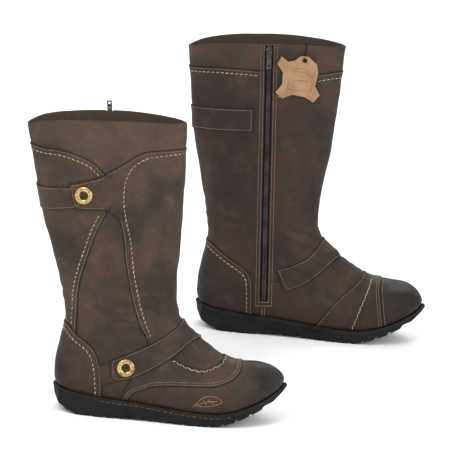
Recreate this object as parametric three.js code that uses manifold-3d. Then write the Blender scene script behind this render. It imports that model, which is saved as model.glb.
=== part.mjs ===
// A pair of leather riding boots with an inside zip, two strap tabs with ring snaps, a cupped rubber
// outsole and a hide-shaped hang tag. Millimetres, +Z up, toes towards +X, soles on Z = 0.
// The right boot stands on the -Y side and the left boot, its mirror image, on the +Y side, a step ahead.
import * as THREE from 'three';
import { ParametricGeometry } from 'three/addons/geometries/ParametricGeometry.js';
import { mergeVertices } from 'three/addons/utils/BufferGeometryUtils.js';
import Module from 'manifold-3d';

const wasm = await Module();
wasm.setup();

// ---------------------------------------------------------------- driving dimensions
const bootLength = 284;       // sole, heel to toe
const bootHeight = 368;       // floor to the top of the shaft
const ballWidth = 92;         // upper, across the ball of the foot
const soleThickness = 12;     // sole under the ball of the foot
const stanceX = 164;          // how far the left boot stands ahead of the right one
const stanceY = 415;          // distance between the two boots' centre planes
const rightLean = -11.5;      // how far the top of each soft shaft leans forwards (+) or back (-)
const leftLean = 11.5;

const gap = 0.3;              // clearance between neighbouring pieces
const leather = 1.8;          // outer leather
const stiffener = 0.9;        // heel stiffener and toe puff
const liningThickness = 1.2;
const strapThickness = 1.5;
const seamWidth = 0.35;       // cut between two neighbouring panels
const weltMargin = 3.6;       // how far the sole stands out past the upper
const footbedThickness = 5;
const lastingMargin = 15;     // turned-under edge of the upper
const weltHeight = 5;         // smooth rim over the outsole
const weltSeat = 7;           // how far the welt reaches in under the upper
const lastingHeight = 36;     // under which the upper's edge is turned in

const grooveDepth = 2.2;      // tread
const grooveWidth = 4;
const grooveSlope = 0.6;
const groovePitch = 16;
const treadSpan = [34, 262];  // from the heel's curve to the toe's

const shankLength = 96;       // steel spring under the arch
const shankWidth = 14;
const shankThickness = 1.6;

const snapRadius = 11;        // ring snaps on the strap tabs
const snapHoleRadius = 5.4;
const snapHeight = 2.8;

const zipSlotWidth = 9.2;     // opening in the leather that shows the zip
const zipTapeWidth = 11;      // each of the two tapes
const zipTapeThickness = 0.8;
const zipSlack = 0.6;         // extra room round the tapes
const zipTail = 8;            // tape below the teeth
const zipStop = 3;            // tape left off below the topline
const zipRoomDepth = 2.2;     // room behind the tapes
const coilWidth = 2.4;        // each of the two coils
const coilHeight = 1.9;
const sliderLength = 10;
const sliderPlate = 1.4;
const sliderWall = 0.9;
const sliderInset = 2;        // closed slider to the end of the teeth
const lugLength = 3.6;        // the slider's two lugs, which hold the crossbar
const lugCrest = 1.1;
const pullLength = 20;
const pullWidth = 6;
const pullThickness = 1.3;
const pullEye = 1.5;          // hole at the pull's end
const pinRadius = 0.7;        // crossbar that the pull swings on
const pinClearance = 0.35;
const barrelWall = 1;         // the pull's sleeve round the crossbar
const barrelInset = 1.6;

const tagThickness = 0.9;
const tagHoleRadius = 2.2;
const cordRadius = 0.7;
const knotRadius = 2.8;

const headroom = 60;          // how far cutters run past the topline
const underfoot = -5;         // and below and above the foot
const overfoot = 90;
const slotReach = 12;         // half the depth of the cut for the zip

// The outlines below are drawn for these sizes, and place() fits them to the sizes above.
const drawn = { length: 284, height: 368, ball: 92, sole: 12, ankle: 130 };

// Sections of the upper from above the topline, down the shaft, round the heel and out to the toe.
// front and back: the section's two ends in side view. half: half its width. round and base: exponents
// of its bulge at the front and back ends (1 is an ellipse, less is blunter). drop: how far its widest
// place sits towards the back end. shift: sideways.
const sections = [
  { front: [150.5, 384], back: [-48, 374], half: 27.5, round: 1, base: 1, drop: 0, shift: 0 },
  { front: [150, 366], back: [-43.5, 354], half: 28, round: 1, base: 1, drop: 0, shift: 0 },
  { front: [147.5, 250], back: [-24, 250], half: 30.9, round: 1, base: 1, drop: 0, shift: 0 },
  { front: [143.5, 185], back: [-7.5, 187], half: 32.5, round: 1, base: 1, drop: 0, shift: 0 },
  { front: [142, 150], back: [3, 147], half: 33.4, round: 1, base: 0.95, drop: 0, shift: 0 },
  { front: [145.5, 128], back: [8.5, 114], half: 34.1, round: 1, base: 0.9, drop: 0.02, shift: 0 },
  { front: [152.5, 116.5], back: [3.5, 84], half: 34.6, round: 1, base: 0.85, drop: 0.06, shift: 0 },
  { front: [162, 108], back: [0, 56], half: 35.1, round: 0.98, base: 0.8, drop: 0.1, shift: 0 },
  { front: [174, 99], back: [3.5, 32], half: 35.6, round: 0.96, base: 0.75, drop: 0.15, shift: 0 },
  { front: [186, 90], back: [30, 21], half: 36.5, round: 0.95, base: 0.65, drop: 0.18, shift: -0.5 },
  { front: [197, 83], back: [75, 18], half: 37.5, round: 0.95, base: 0.6, drop: 0.22, shift: -1.5 },
  { front: [209, 77], back: [125, 15], half: 41.5, round: 0.95, base: 0.6, drop: 0.24, shift: -1.5 },
  { front: [224, 73.5], back: [170, 11], half: 45.5, round: 0.92, base: 0.6, drop: 0.24, shift: -0.5 },
  { front: [241, 72], back: [208, 12], half: 45.5, round: 0.9, base: 0.6, drop: 0.24, shift: 1.5 },
  { front: [257, 70], back: [236, 20], half: 40.5, round: 0.88, base: 0.62, drop: 0.2, shift: 4 },
  { front: [268.5, 64.5], back: [255, 29], half: 32, round: 0.85, base: 0.66, drop: 0.15, shift: 6 },
  { front: [276, 56.5], back: [267, 37], half: 20, round: 0.88, base: 0.75, drop: 0.1, shift: 8 },
  { front: [278.6, 50.5], back: [275, 43.5], half: 8, round: 0.9, base: 0.9, drop: 0, shift: 9 },
];
const columns = 16;
const circle = 14;           // segments of the small round parts

const topline = [[-60, 350], [-42, 353], [-22, 359.5], [10, 364], [60, 367.5], [105, 368], [152, 365.5],
  [180, 364]];
const rimLine = [[-8, 36], [4, 32.5], [20, 28], [60, 24], [100, 22.5], [140, 18.5], [180, 15.5], [203, 16],
  [222, 20], [240, 26], [256, 33], [271, 42], [285, 52], [296, 60]];
const soleLine = [[-8, 33], [0, 28], [2, 19], [8, 10.5], [17, 5], [28, 1.2], [38, 0], [66, 0], [88, 2.4],
  [110, 3.2], [133, 2.4], [154, 0], [197, 0], [214, 4], [233, 11.5], [252, 21], [266, 30], [277, 39],
  [286, 47.5], [296, 56]];

// Seams in side view. The outer (lateral) face and the inner (medial) face have their own lines.
// Where a seam runs round the front, the back or the top of the foot, both share these ends.
const bandBack = [[-70, 328], [-46, 328], [-36, 328]];
const bandFront = [[138, 335], [158, 335], [180, 335]];
const counterBack = [[-20, 110], [3, 110], [12, 108.5]];
const instepFront = [[143, 99.9], [158, 113], [174, 127]];
const apronTop = [[199.5, 74], [204, 80.5], [211, 90.6]];
const toeTop = [[225, 66], [226.4, 75], [228.4, 88]];
const outerSeams = [
  [...bandBack, [-21, 326.5], [0, 326.5], [20, 322.5], [37, 316], [53, 302]],
  [[52.8, 302], [71, 313], [92, 328], [106, 333], ...bandFront],
  [[53, 303], [57, 256]],
  [[57, 257], [45, 230.5], [37, 206], [28, 175], [23.3, 139], [24, 97]],
  [[56, 257], [70, 246.5], [74, 236.5], [77.7, 216], [79, 199.5], [84.7, 167], [91.5, 138], [100, 115],
    [110, 96], [106, 74], [95, 52], [84, 32], [79, -4]],
  [...counterBack, [25.2, 98], [37.7, 90.6], [47.4, 81], [53.5, 68], [57.2, 49], [59.5, 26.5], [60, -4]],
  [[107, 92.3], [125, 91], ...instepFront],
  [[124, 94], [143.4, 77.5], [161.3, 69.5], [180.3, 67], ...apronTop],
  [[84, -4], [93.5, 29.2], [108.5, 38.2], [120.7, 43.1], [147.3, 45.8], [189.7, 48.1], [206.6, 52.5],
    ...toeTop],
];
const innerSeams = [
  [...bandBack, [-20, 331], [8, 333.5], [61, 334]],
  [[59, 303], [84.3, 319], [103, 328], [123, 333], ...bandFront],
  [...counterBack, [38.5, 93], [56.2, 83], [64, 73.7], [67.8, 60], [70, 24.6], [70, -4]],
  [[85.5, 46], [88, -4]],
  [[82, 67], [101, 69.5], [117, 75], ...instepFront],
  [[140, -4], [146, 12], [158, 31.4], [174.5, 51.5], [190, 65], ...apronTop],
  [[236, -4], [232, 26], [227, 55], ...toeTop],
];

// Straps and tabs lie on the leather. Each outline is drawn on the face or faces that it covers.
const backStrapOuter = [[-70, 278], [-32, 276], [7, 281.5], [10.5, 270], [15.5, 256], [-23, 247], [-70, 247]];
const backStrapInner = [[-70, 278], [-28, 279.5], [47, 286], [49.5, 256], [-20, 250.5], [-70, 247]];
const upperTab = [[10, 285], [26, 290.5], [43, 296.5], [53.5, 301], [66, 300], [66, 262], [58, 257.5],
  [45, 257.5], [22, 255.5], [15.5, 260], [12, 270]];
const tabRoot = [[57.5, 298], [66, 298], [66, 262], [60, 259.5]];   // where the tab is one with its panel
const instepOuter = [[66, 71], [97.2, 85.5], [116.8, 95.6], [133.5, 106], [142.4, 112.6], [152, 124],
  [178, 100], [166, 99], [156.5, 91], [143.3, 79.5], [129.7, 70.5], [114.6, 61.2], [96.5, 52], [76, 46.5],
  [68, 51]];
const instepInner = [[94, 83.6], [112, 88.5], [129, 96], [141, 107], [152, 124], [178, 100], [168, 97],
  [147.2, 77.5], [131.1, 66], [107, 56.3]];
const strapBase = [[57.5, 66.5], [65.2, 70], [67.3, 51], [74, 45.5], [61.8, 40]];
const heelStiffenerBlock = [[-20, 10], [58, 10], [52, 62], [30, 84], [-20, 96]];
const toePuffBlock = [[238, 5], [300, 5], [300, 90], [244, 90]];
const upperSnap = [28, 274];
const lowerSnap = [86, 64];

const zipTop = [55.5, 368];
const zipBottom = [83, 44];
const shankStart = [46, 16.2];
const shankEnd = [142, 9.6];

// The tag, drawn from its hole (across, up), and its cord (across, up, out), from inside the boot,
// over the topline, down behind the tag and out through the hole to a knot.
const tagOutline = [[-5, 4.2], [5, 4.4], [12, -2], [20, -4], [29, 2], [33, -8], [25, -18], [24, -33],
  [31, -44], [22, -51], [10, -45], [-6, -47], [-17, -53], [-24, -43], [-17, -32], [-19, -16], [-16, -5]];
const tagX = 100;             // the tag's hole, in side view of the left boot
const tagDrop = 16;           // and how far it hangs below the topline
const tagStand = 4;           // how far the tag hangs off the leather
const tagCord = [[-2, -6, -11], [-2, 8, -10.9], [-1.6, 16.5, -10.6], [-1.4, 20, -7], [-1, 16.5, -2.9],
  [-0.5, 6, -2.4], [-0.2, 1.6, -1.6], [0, 0, 0.4], [0, -0.4, 3.9]];

// ---------------------------------------------------------------- colours
const palette = {
  leather: new THREE.MeshStandardMaterial({ color: 0x4a3a2f, roughness: 0.62 }),
  lining: new THREE.MeshStandardMaterial({ color: 0x3b3029, roughness: 0.85 }),
  board: new THREE.MeshStandardMaterial({ color: 0x8a7458, roughness: 0.9 }),
  rubber: new THREE.MeshStandardMaterial({ color: 0x232320, roughness: 0.7 }),
  welt: new THREE.MeshStandardMaterial({ color: 0x3a3b38, roughness: 0.6 }),
  steel: new THREE.MeshStandardMaterial({ color: 0x9a9a9c, roughness: 0.35, metalness: 1 }),
  brass: new THREE.MeshStandardMaterial({ color: 0xb9924f, roughness: 0.35, metalness: 1 }),
  gunmetal: new THREE.MeshStandardMaterial({ color: 0x35323a, roughness: 0.35, metalness: 0.9 }),
  tape: new THREE.MeshStandardMaterial({ color: 0x2a2022, roughness: 0.9 }),
  coil: new THREE.MeshStandardMaterial({ color: 0x2c2226, roughness: 0.5 }),
  card: new THREE.MeshStandardMaterial({ color: 0xb29474, roughness: 0.85 }),
  cord: new THREE.MeshStandardMaterial({ color: 0x18181a, roughness: 0.8 }),
};

// ---------------------------------------------------------------- solids
// A closed geometry as a manifold solid, whichever way its faces were wound.
function solid(geometry) {
  const bare = new THREE.BufferGeometry().setAttribute('position', geometry.getAttribute('position'));
  if (geometry.index) bare.setIndex(geometry.index);
  const merged = mergeVertices(bare, 1e-4);
  const { array } = merged.index;
  const triangles = [];
  for (let i = 0; i < array.length; i += 3) {
    const [a, b, c] = array.slice(i, i + 3);
    if (a !== b && b !== c && c !== a) triangles.push([a, b, c]);
  }
  const build = (corners) => new wasm.Manifold(new wasm.Mesh({
    numProp: 3,
    vertProperties: merged.attributes.position.array,
    triVerts: Uint32Array.from(corners.flat()),
  }));
  const made = build(triangles);
  return made.volume() > 0 ? made : build(triangles.map(([a, b, c]) => [a, c, b]));
}

function geometryOf(manifold) {
  const mesh = manifold.getMesh();
  return new THREE.BufferGeometry()
    .setAttribute('position', new THREE.BufferAttribute(new Float32Array(mesh.vertProperties), 3))
    .setIndex(new THREE.BufferAttribute(new Uint32Array(mesh.triVerts), 1));
}

function box(width, depth, height, matrix = new THREE.Matrix4()) {
  return solid(new THREE.BoxGeometry(width, depth, height).applyMatrix4(matrix));
}

// The largest separate body of a cut, which leaves out slivers.
function largest(manifold) {
  return manifold.decompose().reduce((a, b) => (b.volume() > a.volume() ? b : a));
}

// ---------------------------------------------------------------- one boot, built as a right boot
const group = new THREE.Group();

function makeBoot(side, lean) {
  const lift = soleThickness - drawn.sole;
  const left = side === 'left';
  const stand = [left ? stanceX : 0, left ? stanceY : 0, 0];

  // Names a finished solid, mirrors it for the left boot and stands it in its place.
  function add(name, manifold, material) {
    const placed = (left ? manifold.mirror([0, 1, 0]) : manifold).translate(stand);
    const mesh = new THREE.Mesh(geometryOf(placed), palette[material].clone());
    mesh.name = name;
    group.add(mesh);
  }
  const put = (name, manifold, material) => add(`${side}_${name}`, manifold, material);

  // Fits a drawn side-view point to the driving dimensions and leans it with the shaft.
  const drawnShaft = drawn.height - drawn.ankle;
  const stretch = (bootHeight - lift - drawn.ankle) / drawnShaft;
  function place([x, z]) {
    const above = Math.max(0, z - drawn.ankle);
    return new THREE.Vector2(
      (x * bootLength) / drawn.length + (lean * above) / drawnShaft,
      Math.min(z, drawn.ankle) + above * stretch + lift,
    );
  }

  const curve = (read) => new THREE.CatmullRomCurve3(sections.map(read), false, 'catmullrom', 0.5);
  const widen = ballWidth / drawn.ball;
  const frontCurve = curve((s) => new THREE.Vector3(...place(s.front), s.half * widen));
  const backCurve = curve((s) => new THREE.Vector3(...place(s.back), s.shift * widen));
  const shapeCurve = curve((s) => new THREE.Vector3(s.round, s.base, s.drop));
  const last = sections.length - 1;

  // Outer surface of the upper. t counts sections, and phi runs from the front end over the
  // inner face (+Y) to the back end and home over the outer face (-Y).
  function skin(t, phi) {
    const front = frontCurve.getPoint(t / last);
    const back = backCurve.getPoint(t / last);
    const shape = shapeCurve.getPoint(t / last);
    const sine = Math.sin(phi);
    const share = (1 - Math.cos(phi)) / 2;
    const along = share + shape.z * sine * sine;
    const bulge = Math.abs(sine) ** THREE.MathUtils.lerp(shape.x, shape.y, share);
    return new THREE.Vector3(
      THREE.MathUtils.lerp(front.x, back.x, along),
      back.z + front.z * Math.sign(sine) * bulge,
      THREE.MathUtils.lerp(front.y, back.y, along),
    );
  }

  const step = 0.03;
  function normal(t, phi) {
    const lengthwise = skin(Math.min(t + step, last), phi).sub(skin(Math.max(t - step, 0), phi));
    const round = skin(t, phi + step).sub(skin(t, phi - step));
    return lengthwise.cross(round).normalize();
  }

  function offsetSkin(t, phi, offset) {
    return skin(t, phi).addScaledVector(normal(t, phi), offset);
  }

  // Everything inside the skin moved out by offset: one ring for each section, closed at both ends.
  // Deep inside, the last small ring at the toe is left out.
  const deep = -2;
  const toeBulge = 0.6;
  function body(offset) {
    const end = offset < deep ? last - 1 : last;
    const rows = end + 2;
    const angle = (column) => (2 * Math.PI * (column % columns)) / columns;
    const middle = (t) => Array.from({ length: columns }, (_, i) => offsetSkin(t, angle(i), offset))
      .reduce((sum, p) => sum.add(p)).divideScalar(columns);
    const crown = middle(0);
    const toe = middle(end).add(new THREE.Vector3(toeBulge, 0, 0));
    return solid(new ParametricGeometry((u, v, target) => {
      const row = Math.round(v * rows);
      if (row === 0) target.copy(crown);
      else if (row === rows) target.copy(toe);
      else target.copy(offsetSkin(row - 1, angle(Math.round(u * columns)), offset));
    }, columns, rows));
  }

  // The skin's point and outward direction at a side-view point, on the inner (+1) or outer (-1) face.
  const halvings = 40;
  function search(from, to, before) {
    let low = from;
    let high = to;
    for (let i = 0; i < halvings; i += 1) {
      const middle = (low + high) / 2;
      if (before(middle)) low = middle;
      else high = middle;
    }
    return low;
  }
  function seenAt(point, face) {
    const aim = place(point);
    const t = search(0, last, (at) => {
      const front = frontCurve.getPoint(at / last);
      const back = backCurve.getPoint(at / last);
      return (back.x - front.x) * (aim.y - front.y) > (back.y - front.y) * (aim.x - front.x);
    });
    const front = skin(t, 0);
    const back = skin(t, Math.PI);
    const reached = (aim.x - front.x) / (back.x - front.x);
    const phi = search(0, Math.PI, (at) => (skin(t, at).x - front.x) / (back.x - front.x) < reached);
    return { point: skin(t, phi * face), out: normal(t, phi * face) };
  }

  // A side-view outline as a prism through one face (+1 or -1) or through the whole boot (0).
  // A prism through one face also reaches a little past the centre plane.
  const reach = ballWidth;
  const past = 0.1;
  function prism(outline, face) {
    const depth = face === 0 ? 2 * reach : reach + past;
    const geometry = new THREE.ExtrudeGeometry(new THREE.Shape(outline), { depth, bevelEnabled: false });
    return solid(geometry.rotateX(Math.PI / 2).translate(0, face < 0 ? past : reach, 0));
  }

  const smooth = (points, perSpan = 1) => new THREE.SplineCurve(points.map(place))
    .getPoints(perSpan * (points.length - 1));

  // A line or loop of 2-D points moved sideways, to its right.
  function aside(points, distance, closed) {
    const count = points.length;
    const at = (i) => points[closed ? (i + count) % count : THREE.MathUtils.clamp(i, 0, count - 1)];
    return points.map((p, i) => {
      const along = at(i + 1).clone().sub(at(i - 1)).normalize();
      return new THREE.Vector2(p.x + along.y * distance, p.y - along.x * distance);
    });
  }

  // A thin wall along a seam, which parts two panels.
  function seamWall(points, face) {
    const line = smooth(points);
    return prism([...aside(line, seamWidth / 2), ...aside(line, -seamWidth / 2).reverse()], face);
  }

  // Everything above the topline.
  const ceiling = bootHeight + headroom;
  const brim = smooth(topline);
  const overhead = [brim.at(-1).x, brim[0].x].map((x) => new THREE.Vector2(x, ceiling));
  const lid = prism([...brim, ...overhead], 0);

  // A layer of material between two depths from the skin, open at the topline.
  const layer = (outer, inner) => body(outer).subtract(body(inner)).subtract(lid);

  // ---- the zip's own frame: X across it, Y up along it, Z out of the boot
  const zipFoot = seenAt(zipBottom, 1).point;
  const up = seenAt(zipTop, 1).point.sub(zipFoot);
  const zipLength = up.length();
  up.normalize();
  const out = new THREE.Vector3(0, 1, 0).addScaledVector(up, -up.y).normalize();
  const across = up.clone().cross(out);
  const zipFrame = new THREE.Matrix4().makeBasis(across, up, out).setPosition(zipFoot);
  const inZip = (x, y, z) => zipFrame.clone().multiply(new THREE.Matrix4().makeTranslation(x, y, z));
  const zipBlock = (x0, x1, y0, y1, z0, z1) => box(x1 - x0, y1 - y0, z1 - z0,
    inZip((x0 + x1) / 2, (y0 + y1) / 2, (z0 + z1) / 2));

  const tapeOuter = -leather - gap - zipSlack;
  const tapeInner = tapeOuter - zipTapeThickness;
  const zipEnd = zipLength - zipStop;
  const beyond = zipLength + headroom;
  const clear = gap + zipSlack;
  const slot = zipBlock(-zipSlotWidth / 2, zipSlotWidth / 2, 0, beyond, -slotReach, slotReach);
  const tapeRoom = zipBlock(-zipTapeWidth - clear, zipTapeWidth + clear, -zipTail - gap, beyond,
    tapeInner - zipRoomDepth, tapeOuter + gap);

  // ---- sole outline: the upper's edge at the rim, seen from above, moved out by a margin
  const rim = smooth(rimLine);
  const heightOn = (line, x) => {
    const i = THREE.MathUtils.clamp(line.findIndex((p) => p.x > x), 1, line.length - 1);
    return THREE.MathUtils.mapLinear(x, line[i - 1].x, line[i].x, line[i - 1].y, line[i].y);
  };
  const footStart = 8.15;     // the section whose back end is the rim of the heel
  const footEnd = last - 0.1;
  const stops = 14;
  const footLine = (face) => Array.from({ length: stops + 1 }, (_, i) => {
    const t = THREE.MathUtils.lerp(footStart, footEnd, i / stops);
    const phi = search(Math.PI / 2, Math.PI, (at) => {
      const p = skin(t, at * face);
      return p.z > heightOn(rim, p.x);
    });
    const { x, y } = skin(t, phi * face);
    return new THREE.Vector2(x, y);
  });
  const outerFoot = footLine(-1);
  const innerFoot = footLine(1);
  function footprint(margin) {
    const ends = [skin(footStart - 0.2, Math.PI), skin(last, 0)].map((p) => new THREE.Vector2(p.x, p.y));
    return aside([ends[0], ...outerFoot, ends[1], ...innerFoot.toReversed()], margin, true);
  }
  // The same outline drawn in from both sides, where the foot is wide enough for it.
  function innerFootprint(margin) {
    const wide = outerFoot.map((p, i) => innerFoot[i].y - p.y > 3 * margin);
    const near = outerFoot.filter((p, i) => wide[i]).map((p) => new THREE.Vector2(p.x, p.y + margin));
    const far = innerFoot.filter((p, i) => wide[i]).map((p) => new THREE.Vector2(p.x, p.y - margin));
    return [...near, ...far.reverse()];
  }
  // An outline on the floor as a column from under the foot to a height.
  const column = (outline, height) => solid(
    new THREE.ExtrudeGeometry(new THREE.Shape(outline), { depth: height - underfoot, bevelEnabled: false })
      .translate(0, 0, underfoot),
  );

  // ---- leather panels: the outer layer, cut along every seam, the zip slot and the lasting edge
  const shell = layer(0, -leather);
  const lastingTop = lastingHeight + lift;
  const insole = shell.intersect(column(innerFootprint(lastingMargin), lastingTop));
  put('insole_board', largest(insole), 'board');
  const cutters = [slot, tapeRoom, column(innerFootprint(lastingMargin - gap), lastingTop)];
  outerSeams.forEach((seam) => cutters.push(seamWall(seam, -1)));
  innerSeams.forEach((seam) => cutters.push(seamWall(seam, 1)));
  const pieces = shell.subtract(wasm.Manifold.union(cutters)).decompose();

  // Straps and tabs lie on the leather. An outline is cut through each face that it covers.
  const strapLayer = layer(gap + strapThickness, gap);
  function strap(outer, inner) {
    const blocks = [prism(outer.map(place), -1)];
    if (inner) blocks.push(prism(inner.map(place), 1));
    return strapLayer.intersect(wasm.Manifold.union(blocks));
  }

  // Each panel is the piece that holds a point of the outer face.
  const markSize = 6;
  const panel = (mark) => {
    const probe = box(markSize, markSize, markSize, new THREE.Matrix4().setPosition(seenAt(mark, -1).point));
    const held = pieces.map((piece) => piece.intersect(probe).volume());
    return pieces[held.indexOf(Math.max(...held))];
  };
  const tabJoint = layer(gap + strapThickness, -leather / 2).intersect(prism(tabRoot.map(place), -1));
  put('top_band', panel([20, 345]), 'leather');
  put('shaft_front', panel([120, 220]).add(tabJoint).add(strap(upperTab)), 'leather');
  put('shaft_back', panel([0, 220]), 'leather');
  put('gusset', panel([55, 180]), 'leather');
  put('heel_counter', panel([25, 60]), 'leather');
  put('instep_apron', panel([150, 85]), 'leather');
  put('mid_vamp', panel([160, 57]), 'leather');
  put('toe_panel', panel([200, 30]), 'leather');
  put('back_strap', largest(strap(backStrapOuter, backStrapInner)), 'leather');
  put('instep_strap', largest(strap(instepOuter, instepInner)), 'leather');
  put('strap_base', largest(strap(strapBase)), 'leather');

  // ---- lining, stiffeners and footbed
  const under = -leather - gap;
  const liningOuter = under - stiffener - gap;
  const liningInner = liningOuter - liningThickness;
  put('lining', largest(layer(liningOuter, liningInner).subtract(tapeRoom).subtract(slot)), 'lining');
  const innerLayer = layer(under, under - stiffener).subtract(tapeRoom);
  const heelBlock = prism(heelStiffenerBlock.map(place), 0);
  const toeBlock = prism(toePuffBlock.map(place), 0);
  put('heel_stiffener', largest(innerLayer.intersect(heelBlock)), 'board');
  put('toe_puff', largest(innerLayer.intersect(toeBlock)), 'board');
  const bedHeight = footbedThickness + gap - liningInner;
  const bedLine = sections.slice(9, -2).map((s) => place(s.back).add(new THREE.Vector2(0, bedHeight)));
  const heelEnd = bedLine[0].clone().add(new THREE.Vector2(-headroom, 2));
  const toeEnd = bedLine.at(-1).clone().add(new THREE.Vector2(40, 30));
  const bedFloor = [toeEnd.x, heelEnd.x].map((x) => new THREE.Vector2(x, underfoot));
  const bedBlock = prism([heelEnd, ...bedLine, toeEnd, ...bedFloor], 0);
  put('footbed', largest(body(liningInner - gap).intersect(bedBlock)), 'lining');

  // ---- sole: a block of the footprint's outline, cut to its side profile and hollowed for the upper
  const ground = smooth(soleLine).map((p) => new THREE.Vector2(p.x, Math.max(0, p.y - lift)));
  const [treadStart, treadEnd] = treadSpan.map((x) => place([x, 0]).x);
  const profile = ground.filter((p) => p.x < treadStart);
  for (let x = treadStart; x + groovePitch <= treadEnd; x += groovePitch) {
    const next = x + groovePitch;
    const land = next - grooveWidth;
    profile.push(new THREE.Vector2(x, heightOn(ground, x)));
    profile.push(new THREE.Vector2(land, heightOn(ground, land)));
    profile.push(new THREE.Vector2(land + grooveSlope, heightOn(ground, land) + grooveDepth));
    profile.push(new THREE.Vector2(next - grooveSlope, heightOn(ground, next) + grooveDepth));
  }
  profile.push(...ground.filter((p) => p.x > treadEnd));
  const hollow = body(gap);
  const block = column(footprint(weltMargin), overfoot).subtract(hollow);
  const rimDown = (drop) => rim.map((p) => new THREE.Vector2(p.x, p.y - drop));
  const overRim = [rim.at(-1).x, rim[0].x].map((x) => new THREE.Vector2(x, overfoot));
  const seat = column(innerFootprint(weltSeat), overfoot);
  const shankA = place(shankStart);
  const shankB = place(shankEnd);
  const shankFrame = new THREE.Matrix4().makeRotationY(Math.atan2(shankA.y - shankB.y, shankB.x - shankA.x))
    .setPosition((shankA.x + shankB.x) / 2, -1, (shankA.y + shankB.y) / 2);
  const pocketHeight = 12;
  const pocketFrame = shankFrame.clone().multiply(new THREE.Matrix4().makeTranslation(0, 0,
    (pocketHeight - shankThickness) / 2 - gap));
  const pocket = box(shankLength + 2 * gap, shankWidth + 2 * gap, pocketHeight, pocketFrame);
  const rimBand = prism([...rimDown(weltHeight), ...rim.toReversed()], 0);
  const cup = block.intersect(prism([...profile, ...rim.toReversed()], 0));
  const weltRoom = prism([...rimDown(weltHeight + gap), ...overRim], 0)
    .subtract(column(innerFootprint(weltSeat + gap), overfoot));
  put('outsole', largest(cup.subtract(weltRoom).subtract(pocket)), 'rubber');
  put('welt', largest(block.intersect(rimBand).subtract(seat)), 'welt');
  put('shank', box(shankLength, shankWidth, shankThickness, shankFrame), 'steel');

  // ---- ring snaps: a brass ring and the dark cap in its middle
  const ringProfile = [[snapHoleRadius, 0], [snapRadius, 0], [snapRadius, 0.8],
    [snapRadius - 1.2, snapHeight - 0.5], [snapRadius - 3, snapHeight],
    [snapHoleRadius + 0.6, snapHeight - 0.6], [snapHoleRadius, 0]];
  const capRadius = snapHoleRadius - gap;
  const capProfile = [[0, 0], [capRadius, 0], [capRadius, 0.9], [capRadius - 1.6, 1.1], [0, 1.8]];
  const lathe = (points) => new THREE.LatheGeometry(points.map((p) => new THREE.Vector2(...p)), circle);
  const snap = (name, mark) => {
    const seen = seenAt(mark, -1);
    const base = seen.point.addScaledVector(seen.out, 2 * gap + strapThickness);
    const turn = new THREE.Quaternion().setFromUnitVectors(new THREE.Vector3(0, 1, 0), seen.out);
    const frame = new THREE.Matrix4().compose(base, turn, new THREE.Vector3(1, 1, 1));
    put(`${name}_snap_ring`, solid(lathe(ringProfile).applyMatrix4(frame)), 'brass');
    put(`${name}_snap_cap`, solid(lathe(capProfile).applyMatrix4(frame)), 'gunmetal');
  };
  snap('upper', upperSnap);
  snap('lower', lowerSnap);

  // ---- zip: two tapes, two coils, the slider and its pull
  const half = gap / 2;
  const coilBase = tapeOuter + gap;
  const coilTop = coilBase + coilHeight;
  put('zip_tape_front', zipBlock(half, zipTapeWidth, -zipTail, zipEnd, tapeInner, tapeOuter), 'tape');
  put('zip_tape_rear', zipBlock(-zipTapeWidth, -half, -zipTail, zipEnd, tapeInner, tapeOuter), 'tape');
  put('zip_coil_front', zipBlock(half, coilWidth, 0.5, zipEnd, coilBase, coilTop), 'coil');
  put('zip_coil_rear', zipBlock(-coilWidth, -half, 0.5, zipEnd, coilBase, coilTop), 'coil');

  const plateLow = coilTop + gap;
  const plateTop = plateLow + sliderPlate;
  const flangeIn = coilWidth + gap;
  const flangeOut = flangeIn + sliderWall;
  const sliderCentre = zipEnd - sliderLength / 2 - sliderInset;
  const s0 = sliderCentre - sliderLength / 2;
  const s1 = sliderCentre + sliderLength / 2;
  const barrelRadius = pinRadius + pinClearance + barrelWall;
  const pinHeight = plateTop + barrelRadius + gap;
  const barrelHalf = pullWidth / 2 - barrelInset;
  const lugIn = barrelHalf + gap;
  const lugOut = lugIn + sliderWall;
  const lugStart = sliderCentre - lugLength / 2;
  const lugEnd = sliderCentre + lugLength / 2;
  const rod = (radius, length) => solid(new THREE.CylinderGeometry(radius, radius, length, circle)
    .rotateZ(Math.PI / 2).applyMatrix4(inZip(0, sliderCentre, pinHeight)));
  put('zip_slider', wasm.Manifold.union([
    zipBlock(-flangeOut, flangeOut, s0, s1, plateLow, plateTop),
    zipBlock(-flangeOut, -flangeIn, s0, s1, coilBase + gap, plateTop),
    zipBlock(flangeIn, flangeOut, s0, s1, coilBase + gap, plateTop),
    zipBlock(-lugOut, -lugIn, lugStart, lugEnd, plateLow, pinHeight + lugCrest),
    zipBlock(lugIn, lugOut, lugStart, lugEnd, plateLow, pinHeight + lugCrest),
    rod(pinRadius, lugIn + lugOut),
  ]), 'gunmetal');

  // The right boot's pull stands up past the topline, and the left boot's hangs down the zip.
  const way = left ? -1 : 1;
  const along = (from, to) => [sliderCentre + way * from, sliderCentre + way * to].sort((a, b) => a - b);
  const low = pinHeight - pullThickness / 2;
  const high = pinHeight + pullThickness / 2;
  const eye = solid(new THREE.CylinderGeometry(pullEye, pullEye, 4, circle).rotateX(Math.PI / 2)
    .applyMatrix4(inZip(0, sliderCentre + way * (pullLength - 2 * pullEye), pinHeight)));
  put('zip_pull', rod(barrelRadius, 2 * barrelHalf)
    .add(zipBlock(-barrelHalf, barrelHalf, ...along(0.6, pullLength), low, high))
    .add(zipBlock(-pullWidth / 2, pullWidth / 2, ...along(barrelRadius + 1.2, pullLength), low, high))
    .subtract(rod(pinRadius + pinClearance, pullWidth))
    .subtract(eye), 'gunmetal');

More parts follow.
